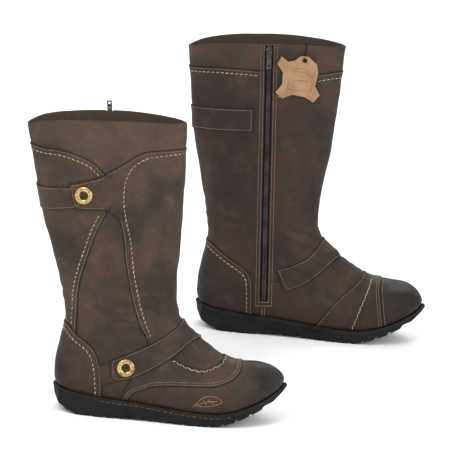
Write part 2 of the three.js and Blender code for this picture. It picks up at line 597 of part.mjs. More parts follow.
  // ---- hang tag and its cord, on the left boot's inner face
  if (!left) return;
  const toplineAt = heightOn(topline.map(([x, z]) => new THREE.Vector2(x, z)), tagX);
  const tagZ = toplineAt - tagDrop / stretch;
  const hole = seenAt([tagX, tagZ], 1);
  const rise = hole.point.clone().sub(seenAt([tagX, tagZ - 45], 1).point).normalize();
  const face = hole.out.clone().addScaledVector(rise, -rise.dot(hole.out)).normalize();
  const tagFrame = new THREE.Matrix4().makeBasis(rise.clone().cross(face), rise, face)
    .setPosition(hole.point.addScaledVector(face, tagStand));
  const outline = new THREE.Shape(tagOutline.map((p) => new THREE.Vector2(...p)));
  const plate = new THREE.ExtrudeGeometry(outline, { depth: tagThickness, bevelEnabled: false });
  const punch = new THREE.CylinderGeometry(tagHoleRadius, tagHoleRadius, 6, circle).rotateX(Math.PI / 2);
  add('hang_tag', solid(plate.applyMatrix4(tagFrame)).subtract(solid(punch.applyMatrix4(tagFrame))), 'card');
  const route = tagCord.map((p) => new THREE.Vector3(...p));
  const cordSection = new THREE.Shape().absarc(0, 0, cordRadius, 0, 2 * Math.PI, false);
  const cordTube = new THREE.ExtrudeGeometry(cordSection,
    { steps: 18, extrudePath: new THREE.CatmullRomCurve3(route), curveSegments: 3 });
  const knot = new THREE.SphereGeometry(knotRadius, 10, 7).translate(...route.at(-1));
  add('tag_cord', solid(cordTube.applyMatrix4(tagFrame)).add(solid(knot.applyMatrix4(tagFrame))), 'cord');
}

makeBoot('right', rightLean);
makeBoot('left', leftLean);

// The pair stands centred on the origin.
const extent = new THREE.Box3().setFromObject(group);
const centre = extent.getCenter(new THREE.Vector3());
group.children.forEach((mesh) => mesh.geometry.translate(-centre.x, -centre.y, -extent.min.z));

export default group;
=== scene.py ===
import math

import bpy
import numpy as np
from mathutils import Matrix, Vector
from mathutils.geometry import delaunay_2d_cdt
from mathutils.bvhtree import BVHTree
from mathutils.kdtree import KDTree


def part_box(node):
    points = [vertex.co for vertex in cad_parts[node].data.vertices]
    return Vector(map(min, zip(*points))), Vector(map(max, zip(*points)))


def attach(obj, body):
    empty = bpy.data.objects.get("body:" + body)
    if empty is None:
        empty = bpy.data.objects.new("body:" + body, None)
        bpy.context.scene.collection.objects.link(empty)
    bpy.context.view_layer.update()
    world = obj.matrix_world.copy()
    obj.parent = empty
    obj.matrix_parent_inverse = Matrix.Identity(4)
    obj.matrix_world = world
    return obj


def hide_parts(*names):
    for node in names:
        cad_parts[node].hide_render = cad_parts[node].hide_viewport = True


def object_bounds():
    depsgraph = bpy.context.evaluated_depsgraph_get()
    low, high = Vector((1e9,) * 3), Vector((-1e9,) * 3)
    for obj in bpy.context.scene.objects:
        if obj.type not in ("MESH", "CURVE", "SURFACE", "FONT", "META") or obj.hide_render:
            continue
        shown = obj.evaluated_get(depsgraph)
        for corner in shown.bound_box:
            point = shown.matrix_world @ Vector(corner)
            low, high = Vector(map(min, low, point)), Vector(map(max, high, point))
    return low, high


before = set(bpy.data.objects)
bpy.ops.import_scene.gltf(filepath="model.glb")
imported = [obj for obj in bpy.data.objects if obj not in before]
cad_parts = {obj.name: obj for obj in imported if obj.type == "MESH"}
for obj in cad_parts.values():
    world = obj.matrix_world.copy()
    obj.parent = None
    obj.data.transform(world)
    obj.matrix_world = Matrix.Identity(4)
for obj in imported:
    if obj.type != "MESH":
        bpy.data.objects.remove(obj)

cad_low, cad_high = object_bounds()
MM = 0.001
TURN = 2 * math.pi

# ------------------------------------------------------------------ the boots' own surface, in millimetres
# front x, z; back x, z; half width; round; base; drop; shift
SECTIONS = np.array([
    [150.5, 384, -48, 374, 27.5, 1, 1, 0, 0],
    [150, 366, -43.5, 354, 28, 1, 1, 0, 0],
    [147.5, 250, -24, 250, 30.9, 1, 1, 0, 0],
    [143.5, 185, -7.5, 187, 32.5, 1, 1, 0, 0],
    [142, 150, 3, 147, 33.4, 1, 0.95, 0, 0],
    [145.5, 128, 8.5, 114, 34.1, 1, 0.9, 0.02, 0],
    [152.5, 116.5, 3.5, 84, 34.6, 1, 0.85, 0.06, 0],
    [162, 108, 0, 56, 35.1, 0.98, 0.8, 0.1, 0],
    [174, 99, 3.5, 32, 35.6, 0.96, 0.75, 0.15, 0],
    [186, 90, 30, 21, 36.5, 0.95, 0.65, 0.18, -0.5],
    [197, 83, 75, 18, 37.5, 0.95, 0.6, 0.22, -1.5],
    [209, 77, 125, 15, 41.5, 0.95, 0.6, 0.24, -1.5],
    [224, 73.5, 170, 11, 45.5, 0.92, 0.6, 0.24, -0.5],
    [241, 72, 208, 12, 45.5, 0.9, 0.6, 0.24, 1.5],
    [257, 70, 236, 20, 40.5, 0.88, 0.62, 0.2, 4],
    [268.5, 64.5, 255, 29, 32, 0.85, 0.66, 0.15, 6],
    [276, 56.5, 267, 37, 20, 0.88, 0.75, 0.1, 8],
    [278.6, 50.5, 275, 43.5, 8, 0.9, 0.9, 0, 9],
], float)
LAST = len(SECTIONS) - 1
ANKLE, TOP = 130.0, 368.0


def spline(points, u):
    """Catmull-Rom through the rows of points, at the row numbers u."""
    p = np.vstack([2 * points[0] - points[1], points, 2 * points[-1] - points[-2]])
    u = np.clip(u, 0, len(points) - 1)
    i = np.minimum(u.astype(int), len(points) - 2)
    w = (u - i)[:, None]
    a, b, c, d = p[i], p[i + 1], p[i + 2], p[i + 3]
    square, cube = 2 * a - 5 * b + 4 * c - d, 3 * b - a - 3 * c + d
    return 0.5 * (2 * b + (c - a) * w + square * w ** 2 + cube * w ** 3)


class Shape:
    """The outer surface of one boot, built as a right boot: +Y is its inner face."""

    def __init__(self, lean):
        self.lean = lean
        rows = SECTIONS.copy()
        rows[:, 0] += self.leaned(rows[:, 1])
        rows[:, 2] += self.leaned(rows[:, 3])
        self.rows = rows
        t = np.linspace(0, LAST, 400)
        mid = self.skin(t, np.full(400, math.pi / 2))
        self.length = np.concatenate([[0], np.cumsum(np.linalg.norm(np.diff(mid, axis=0), axis=1))])
        self.length_t = t

    def leaned(self, z):
        return self.lean * np.maximum(0, np.asarray(z, float) - ANKLE) / (TOP - ANKLE)

    def place(self, points):
        points = np.asarray(points, float)
        return np.stack([points[:, 0] + self.leaned(points[:, 1]), points[:, 1]], 1)

    def skin(self, t, phi):
        t, phi = np.broadcast_arrays(np.asarray(t, float), np.asarray(phi, float))
        r = spline(self.rows, t.ravel())
        p = phi.ravel()
        sine, share = np.sin(p), (1 - np.cos(p)) / 2
        along = share + r[:, 7] * sine ** 2
        bulge = np.abs(sine) ** (r[:, 5] + (r[:, 6] - r[:, 5]) * share)
        return np.stack([
            r[:, 0] + (r[:, 2] - r[:, 0]) * along,
            r[:, 8] + r[:, 4] * np.sign(sine) * bulge,
            r[:, 1] + (r[:, 3] - r[:, 1]) * along,
        ], 1)

    def normal(self, t, phi, step=0.03):
        t, phi = np.broadcast_arrays(np.asarray(t, float), np.asarray(phi, float))
        t, phi = t.ravel(), phi.ravel()
        lengthwise = self.skin(np.minimum(t + step, LAST), phi) - self.skin(np.maximum(t - step, 0), phi)
        across = self.skin(t, phi + step) - self.skin(t, phi - step)
        n = np.cross(lengthwise, across)
        return n / np.maximum(np.linalg.norm(n, axis=1), 1e-9)[:, None]

    def invert(self, points, face):
        """t, signed phi and share (0 front, 1 back, outside that beyond the outline) of side-view points."""
        aim = self.place(points)
        low, high = np.zeros(len(aim)), np.full(len(aim), float(LAST))
        for _ in range(36):
            mid = (low + high) / 2
            r = spline(self.rows, mid)
            side = (r[:, 2] - r[:, 0]) * (aim[:, 1] - r[:, 1]) > (r[:, 3] - r[:, 1]) * (aim[:, 0] - r[:, 0])
            low, high = np.where(side, mid, low), np.where(side, high, mid)
        r = spline(self.rows, low)
        chord = r[:, 2:4] - r[:, 0:2]
        share = ((aim - r[:, 0:2]) * chord).sum(1) / (chord ** 2).sum(1)
        near, far = np.zeros(len(aim)), np.full(len(aim), math.pi)
        for _ in range(36):
            mid = (near + far) / 2
            before = (1 - np.cos(mid)) / 2 + r[:, 7] * np.sin(mid) ** 2 < share
            near, far = np.where(before, mid, near), np.where(before, far, mid)
        return low, near * face, share

    # the chart: millimetres round and along the boot
    ROUND = 60.0

    def chart(self, t, phi):
        return np.stack([phi * self.ROUND, np.interp(t, self.length_t, self.length)], 1)

    def unchart(self, uv):
        return np.interp(uv[:, 1], self.length, self.length_t), uv[:, 0] / self.ROUND

    def trace(self, points, face, pitch=1.6, closed=False):
        """A side-view line laid on the skin: rows of t and phi, about pitch apart, ending at the outline."""
        pts = np.asarray(points, float)
        if closed:
            pts = np.vstack([pts, pts[:1]])
        fine = []
        for a, b in zip(pts[:-1], pts[1:]):
            n = max(2, int(np.linalg.norm(b - a) / 0.5))
            fine.append(a + (b - a) * np.linspace(0, 1, n, endpoint=False)[:, None])
        fine = np.vstack(fine + [pts[-1:]])
        t, phi, share = self.invert(fine, face)
        runs, run = [], []
        for i in range(len(fine)):
            if 0 <= share[i] <= 1:
                if not run and i:
                    run.append(self.crossing(t, share, i, i - 1, face))
                run.append((t[i], phi[i]))
            elif run:
                run.append(self.crossing(t, share, i - 1, i, face))
                runs.append(run)
                run = []
        if run:
            runs.append(run)
        return [self.even(np.array(r), pitch) for r in runs if len(r) > 1]

    def crossing(self, t, share, inside, outside, face):
        edge = 0.0 if share[outside] < 0 else 1.0
        w = (edge - share[inside]) / (share[outside] - share[inside])
        return (t[inside] + (t[outside] - t[inside]) * w, math.pi * edge * face)

    def even(self, line, pitch):
        # phi changes fast at the outline, so the line is filled there before it is evened out
        steps = np.linspace(0, len(line) - 1, 4 * len(line))
        i = np.minimum(steps.astype(int), len(line) - 2)
        w = (steps - i)[:, None]
        dense = line[i] * (1 - w) + line[i + 1] * w
        p = self.skin(dense[:, 0], dense[:, 1])
        s = np.concatenate([[0], np.cumsum(np.linalg.norm(np.diff(p, axis=0), axis=1))])
        n = max(2, int(round(s[-1] / pitch)) + 1)
        at = np.linspace(0, s[-1], n)
        return np.stack([np.interp(at, s, dense[:, 0]), np.interp(at, s, dense[:, 1])], 1)


# ------------------------------------------------------------------ outlines in side view
TOPLINE = [[-60, 350], [-42, 353], [-22, 359.5], [10, 364], [60, 367.5], [105, 368], [152, 365.5],
           [180, 364]]
RIM = [[-8, 36], [4, 32.5], [20, 28], [60, 24], [100, 22.5], [140, 18.5], [180, 15.5], [203, 16],
       [222, 20], [240, 26], [256, 33], [271, 42], [285, 52], [296, 60]]


def curve2(points, per=6):
    """A smooth side-view line through the points."""
    points = np.asarray(points, float)
    return spline(points, np.linspace(0, len(points) - 1, per * (len(points) - 1) + 1))


def seam_line(points):
    """A seam's smooth line. Its ends at the centre plane are straight, so both faces meet there."""
    head = 2 if points[:3] in (BAND_BACK, COUNTER_BACK) else 0
    tail = len(points) - (2 if points[-3:] in (BAND_FRONT, INSTEP_FRONT, APRON_TOP, TOE_TOP) else 0)
    middle = points[head:tail]
    line = curve2(middle) if len(middle) > 2 else np.array(middle, float)
    ends = [np.array(p, float).reshape(-1, 2) for p in (points[:head], points[tail:])]
    return np.vstack([ends[0], line, ends[1]])


def rim_height(x):
    line = curve2(RIM)
    return np.interp(x, line[:, 0], line[:, 1])


BAND_BACK = [[-70, 328], [-46, 328], [-36, 328]]
BAND_FRONT = [[138, 335], [158, 335], [180, 335]]
COUNTER_BACK = [[-20, 110], [3, 110], [12, 108.5]]
INSTEP_FRONT = [[143, 99.9], [158, 113], [174, 127]]
APRON_TOP = [[199.5, 74], [204, 80.5], [211, 90.6]]
TOE_TOP = [[225, 66], [226.4, 75], [228.4, 88]]
OUTER = {
    "band_back": BAND_BACK + [[-21, 326.5], [0, 326.5], [20, 322.5], [37, 316], [53, 302]],
    "band_front": [[52.8, 302], [71, 313], [92, 328], [106, 333]] + BAND_FRONT,
    "tab_end": [[53, 303], [57, 256]],
    "gusset_back": [[57, 257], [45, 230.5], [37, 206], [28, 175], [24.4, 155], [23.3, 139], [23.3, 120],
                    [24, 97]],
    "gusset_front": [[56, 257], [70, 246.5], [74, 236.5], [77.7, 216], [79, 199.5], [84.7, 167], [91.5, 138],
                     [100, 115], [110, 96], [106, 74], [95, 52], [84, 32], [79, -4]],
    "counter": COUNTER_BACK + [[25.2, 98], [37.7, 90.6], [47.4, 81], [53.5, 68], [57.2, 49], [59.5, 26.5],
                               [60, -4]],
    "instep": [[107, 92.3], [125, 91]] + INSTEP_FRONT,
    "apron": [[124, 94], [134, 84], [143.4, 77.5], [161.3, 69.5], [180.3, 67]] + APRON_TOP,
    "toe": [[84, -4], [93.5, 29.2], [108.5, 38.2], [120.7, 43.1], [147.3, 45.8], [189.7, 48.1], [206.6, 52.5],
            [217, 58]] + TOE_TOP,
}
INNER = {
    "band_back": BAND_BACK + [[-20, 331], [8, 333.5], [61, 334]],
    "band_front": [[59, 303], [84.3, 319], [103, 328], [123, 333]] + BAND_FRONT,
    "counter": COUNTER_BACK + [[38.5, 93], [56.2, 83], [64, 73.7], [67.8, 60], [70, 24.6], [70, -4]],
    "zip_foot": [[85.5, 46], [88, -4]],
    "instep": [[82, 67], [101, 69.5], [117, 75]] + INSTEP_FRONT,
    "apron": [[140, -4], [146, 12], [158, 31.4], [174.5, 51.5], [190, 65]] + APRON_TOP,
    "toe": [[236, -4], [232, 26], [227, 55]] + TOE_TOP,
}
# Which panel lies on top at a seam: the higher number.
RANK = {"gusset": 0, "top_band": 1, "toe_panel": 1, "shaft_back": 2, "instep_apron": 2, "shaft_front": 3,
        "mid_vamp": 3, "heel_counter": 5}
# A side-view point inside each panel.
MARKS = {"top_band": [20, 345], "shaft_front": [120, 220], "shaft_back": [0, 220], "gusset": [55, 180],
         "heel_counter": [25, 60], "instep_apron": [150, 85], "mid_vamp": [160, 57], "toe_panel": [200, 30]}
ZIP_TOP, ZIP_BOTTOM = [55.5, 368], [83, 44]
SLOT = 8.8                      # the gap in the leather that shows the zip
SNAPS = [[28, 274], [86, 64]]


# ------------------------------------------------------------------ mesh helpers
def to_row(points, side):
    """Boot-local millimetres to the row frame in metres. The left boot is the mirror image."""
    p = np.array(points, float)
    if side == "left":
        p[:, 1] *= -1
    return (p + STAND[side]) * MM


def to_local(corner, side):
    """A point of the row frame, in metres, to boot-local millimetres."""
    p = np.array(corner) / MM - STAND[side]
    return p * [1, -1 if side == "left" else 1, 1]


def mesh_object(name, verts, faces, side, body, material, replaces=(), attributes=None, sharp=50):
    """A piece in boot-local millimetres, put in its place on its body."""
    verts = to_row(verts, side)
    if side == "left":
        faces = [tuple(reversed(f)) for f in faces]
    me = bpy.data.meshes.new(name)
    me.from_pydata(verts.tolist(), [], [tuple(int(i) for i in f) for f in faces])
    me.validate()
    me.shade_smooth()
    if sharp:
        me.set_sharp_from_angle(angle=math.radians(sharp))
    for key, values in (attributes or {}).items():
        a = me.attributes.new(key, "FLOAT", "POINT")
        a.data.foreach_set("value", np.asarray(values, np.float32))
    ob = bpy.data.objects.new(name, me)
    bpy.context.scene.collection.objects.link(ob)
    me.materials.append(material)
    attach(ob, body)
    if replaces:
        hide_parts(*replaces)
    return ob


def triangulate(points, edges):
    """Constrained Delaunay triangles of chart points: points, faces, and the set of held edges."""
    out = delaunay_2d_cdt([Vector(p) for p in points], [tuple(map(int, e)) for e in edges], [], 0, 1e-5)
    verts = np.array([(v.x, v.y) for v in out[0]])
    held = {tuple(sorted(e)) for e, o in zip(out[1], out[4]) if len(o)}
    return verts, np.array([f for f in out[2] if len(f) == 3], int), held


def near_tree(points):
    tree = KDTree(len(points))
    for i, p in enumerate(points):
        tree.insert((p[0], p[1], p[2] if len(p) > 2 else 0.0), i)
    tree.balance()
    return tree


def spaced(grid, others, distance):
    """The grid points that keep a distance from the others, in the chart."""
    tree = near_tree(others)
    return np.array([p for p in grid if tree.find((p[0], p[1], 0.0))[2] > distance])


def border_edges(faces):
    e = np.vstack([faces[:, [0, 1]], faces[:, [1, 2]], faces[:, [2, 0]]])
    key = np.sort(e, 1)
    _, first, count = np.unique(key, axis=0, return_index=True, return_counts=True)
    return e[first[count == 1]]


def segment_distance(points, border_points, links):
    """Distance from each point to the lines that link the border points."""
    tree = near_tree(border_points)
    found = [tree.find(tuple(p)) for p in points]
    nearest = np.array([f[1] for f in found])
    best = np.array([f[2] for f in found])
    for k in range(links.shape[1]):
        other = links[nearest, k]
        a, b = border_points[nearest], border_points[other]
        ab = b - a
        w = np.clip(((points - a) * ab).sum(1) / np.maximum((ab ** 2).sum(1), 1e-9), 0, 1)
        d = np.linalg.norm(points - (a + ab * w[:, None]), axis=1)
        best = np.where(other >= 0, np.minimum(best, d), best)
    return best


def waves(p, seed, size, count=14):
    """Smooth noise of about unit height, from a few waves of random direction."""
    r = np.random.default_rng(seed)
    k = r.normal(size=(count, 3))
    k /= np.linalg.norm(k, axis=1)[:, None]
    k *= TURN / (size * r.uniform(0.7, 1.5, count))[:, None]
    phase = r.uniform(0, TURN, count)
    return np.sin(p @ k.T + phase).sum(1) / math.sqrt(count)


def bell(x, centre, width):
    return np.exp(-(((x - centre) / width) ** 2))


def relief(p, side):
    """Soft dents and creases of worn leather, in millimetres along the normal."""
    x, _, z = p.T
    seed = 3 if side == "right" else 11
    dents = 0.55 * waves(p, seed, 55) * np.clip((z - 60) / 80, 0, 1) + 0.25 * waves(p, seed + 1, 24)
    ankle = bell(z + 0.25 * (x - 70), 128, 30) * (0.55 + 0.45 * np.clip((x - 40) / 90, 0, 1))
    folds = np.sin((z + 0.3 * x + 6 * waves(p, seed + 2, 60)) * TURN / 17)
    flex = bell(x, 176, 22) * np.clip((z - 48) / 20, 0, 1)
    flexed = np.sin((x + 0.25 * z + 4 * waves(p, seed + 3, 40)) * TURN / 10.5)
    return dents + 0.75 * ankle * folds + 0.4 * flex * flexed


def solidify(top, bottom, faces):
    """A closed sheet from its two sides."""
    n = len(top)
    edges = border_edges(faces)
    walls = [(a, b, b + n, a + n) for a, b in edges]
    return (np.vstack([top, bottom]), [tuple(f) for f in faces] + [tuple(f[::-1] + n) for f in faces]
            + [tuple(reversed(w)) for w in walls])


# ------------------------------------------------------------------ leather panels
LEATHER = 1.8
LIFT, LIFT_REACH, ROUNDING = 0.95, 7.5, 0.75
GRID = 2.6


def zip_axis(shape):
    foot_t, foot_phi, _ = shape.invert([ZIP_BOTTOM], 1)
    head_t, head_phi, _ = shape.invert([ZIP_TOP], 1)
    foot = shape.skin(foot_t, foot_phi)[0]
    up = shape.skin(head_t, head_phi)[0] - foot
    length = np.linalg.norm(up)
    up /= length
    out = np.array([0, 1, 0]) - up * up[1]
    out /= np.linalg.norm(out)
    return foot, up, out, np.cross(up, out), length


def zip_line(shape, offset, low, high, steps=120):
    """A line beside the zip, laid on the skin, as rows of t and phi."""
    foot, up, _, across, _ = zip_axis(shape)
    y = np.linspace(low, high, steps)[:, None]
    return laid(shape, foot + up * y + across * offset)


def laid(shape, points):
    """Rows of t and phi of the inner face under some points."""
    drawn = np.stack([points[:, 0] - shape.leaned(points[:, 2]), points[:, 2]], 1)
    t, phi, _ = shape.invert(drawn, 1)
    return np.stack([t, phi], 1)


def aside(points, distance):
    """A side-view line moved to its right by a distance."""
    p = np.asarray(points, float)
    d = np.gradient(p, axis=0)
    d /= np.maximum(np.linalg.norm(d, axis=1), 1e-9)[:, None]
    return p + np.stack([d[:, 1], -d[:, 0]], 1) * distance


def build_upper(shape):
    """Cuts the skin along the seams: its points, its triangles, and each triangle's panel."""
    held, loose = [], []
    for face, seams in ((-1, OUTER), (1, INNER)):
        for points in seams.values():
            line = seam_line(points)
            held += shape.trace(line, face)
            for d in (0.3, 0.75, 1.7):
                for s in (1, -1):
                    loose += shape.trace(aside(line, s * d), face)
        held += shape.trace(curve2(TOPLINE), face, 2.4)
        rows = np.arange(9.2, LAST + 0.05, 0.1)
        beside = np.stack([rows, np.full(len(rows), math.pi - 0.5)], 1)
        under = np.vstack([[8.6, math.pi], beside])
        under[-1, 0] = LAST
        held.append(under * [1, face])
        for d in (0.8, 2.2):
            loose += shape.trace(aside(curve2(TOPLINE), d), face, 2.4)
    length = zip_axis(shape)[4]
    w = SLOT / 2
    rows = [zip_line(shape, s * w, 0, length + 12) for s in (-1, 1)]
    held += rows + [np.array([rows[0][0], rows[1][0]])]
    for d in (0.5, 1.4):
        loose += [zip_line(shape, s * (w + d), 0, length + 12) for s in (-1, 1)]

    half = math.pi * shape.ROUND
    points, edges = [], []
    for line in held:
        uv = shape.chart(line[:, 0], line[:, 1])
        start = len(points)
        points += uv.tolist()
        edges += [(start + i, start + i + 1) for i in range(len(uv) - 1)]
    soft = np.vstack([shape.chart(l[:, 0], l[:, 1]) for l in loose])
    hard = np.array(points)
    soft = spaced(soft, hard, 0.22)
    ends = np.concatenate([hard[:, 1][np.abs(np.abs(hard[:, 0]) - half) < 1e-6],
                           soft[:, 1][np.abs(np.abs(soft[:, 0]) - half) < 1e-6],
                           np.arange(0, shape.length[-1], GRID)])
    ends = np.sort(ends)
    ends = ends[np.concatenate([[True], np.diff(ends) > 1e-4])]
    border = [(s * half, v) for s in (-1, 1) for v in ends]
    start = len(points)
    points += border
    for first in (start, start + len(ends)):
        edges += [(first + i, first + i + 1) for i in range(len(ends) - 1)]
    taken = np.vstack([hard, soft, border])
    u = np.arange(-half + GRID, half - GRID / 2, GRID)
    v = np.arange(GRID, shape.length[-1] - GRID / 2, GRID)
    grid = np.stack(np.meshgrid(u, v), -1).reshape(-1, 2)
    grid = grid + (np.arange(len(grid)) // len(u) % 2 * GRID / 2)[:, None] * [1, 0]
    grid = spaced(grid[grid[:, 0] < half - GRID / 2], taken, 1.25)
    inside = np.abs(soft[:, 0]) < half - 1e-6
    allp = np.vstack([points, soft[inside], grid])
    uv, faces, fixed = triangulate(allp, edges)

    # join the two edges of the chart along the boot's back
    left = np.where(np.abs(uv[:, 0] + half) < 1e-4)[0]
    right = np.where(np.abs(uv[:, 0] - half) < 1e-4)[0]
    same = np.arange(len(uv))
    rv = uv[right, 1]
    order = np.argsort(rv)
    for i in left:
        k = order[np.argmin(np.abs(rv[order] - uv[i, 1]))]
        if abs(rv[k] - uv[i, 1]) < 1e-3:
            same[i] = right[k]
    seam_border = {tuple(sorted((a, b))) for a, b in fixed
                   if abs(abs(uv[a, 0]) - half) < 1e-4 and abs(abs(uv[b, 0]) - half) < 1e-4
                   and abs(uv[a, 0] - uv[b, 0]) < 1e-4}
    cuts = {tuple(sorted((same[a], same[b]))) for a, b in fixed if tuple(sorted((a, b))) not in seam_border}
    faces = same[faces]
    owner = {}
    links = [[] for _ in faces]
    for i, f in enumerate(faces):
        for a, b in ((f[0], f[1]), (f[1], f[2]), (f[2], f[0])):
            key = (a, b) if a < b else (b, a)
            if key in cuts:
                continue
            if key in owner:
                links[i].append(owner[key])
                links[owner[key]].append(i)
            else:
                owner[key] = i
    label = np.full(len(faces), -1)
    count = 0
    for i in range(len(faces)):
        if label[i] >= 0:
            continue
        label[i] = count
        stack = [i]
        while stack:
            for j in links[stack.pop()]:
                if label[j] < 0:
                    label[j] = count
                    stack.append(j)
        count += 1
    centre = uv[faces].mean(1)
    names = {}
    for name, mark in MARKS.items():
        t, phi, _ = shape.invert([mark], -1)
        at = shape.chart(t, phi)[0]
        ok = np.ptp(uv[faces][:, :, 0], axis=1) < 20
        d = np.where(ok, ((centre - at) ** 2).sum(1), 1e9)
        names.setdefault(label[np.argmin(d)], name)
    t, phi = shape.unchart(uv)
    return t, phi, faces[:, ::-1], np.array([names.get(x, "") for x in label], dtype=object)


def edge_owners(faces, names):
    owners = {}
    for f, name in zip(faces, names):
        for a, b in ((f[0], f[1]), (f[1], f[2]), (f[2], f[0])):
            owners.setdefault((a, b) if a < b else (b, a), []).append(name)
    return owners


def border_distance(points, pairs):
    """Distance from each point to a set of border edges, given as pairs of points."""
    if not len(pairs):
        return np.full(len(points), 1e3)
    ends = np.vstack([pairs[:, 0], pairs[:, 1]])
    _, index, inverse = np.unique(np.round(ends, 4), axis=0, return_index=True, return_inverse=True)
    inverse = inverse.ravel()
    border = ends[index]
    links = np.full((len(border), 3), -1)
    filled = np.zeros(len(border), int)
    half = len(pairs)
    for a, b in zip(inverse[:half], inverse[half:]):
        for i, j in ((a, b), (b, a)):
            if filled[i] < 3:
                links[i, filled[i]] = j
                filled[i] += 1
    return segment_distance(points, border, links)


def rounded(distance, radius):
    """How far an edge of that radius falls away at a distance from the edge."""
    x = np.clip(1 - distance / radius, 0, 1)
    return radius * (1 - np.sqrt(1 - x ** 2))


def calm(shape, phi, skin):
    """1 where the leather hangs free, 0 beside the zip and at the sole."""
    foot, up, _, across, length = zip_axis(shape)
    rel = skin - foot
    y, x = rel @ up, rel @ across
    beside = np.where(np.sin(phi) > 0, np.abs(x), 99)
    beside = np.where((y > -15) & (y < length + 30), beside, 99)
    low = skin[:, 2] - rim_height(skin[:, 0])
    snaps = np.full(len(skin), 99.0)
    for at in SNAPS:
        st, sp, _ = shape.invert([at], -1)
        snaps = np.minimum(snaps, np.linalg.norm(skin - shape.skin(st, sp)[0], axis=1))
    ease = lambda v, a, b: np.clip((v - a) / (b - a), 0, 1)
    return ease(beside, 8, 26) * ease(low, 3, 24) * ease(snaps, 11, 30)


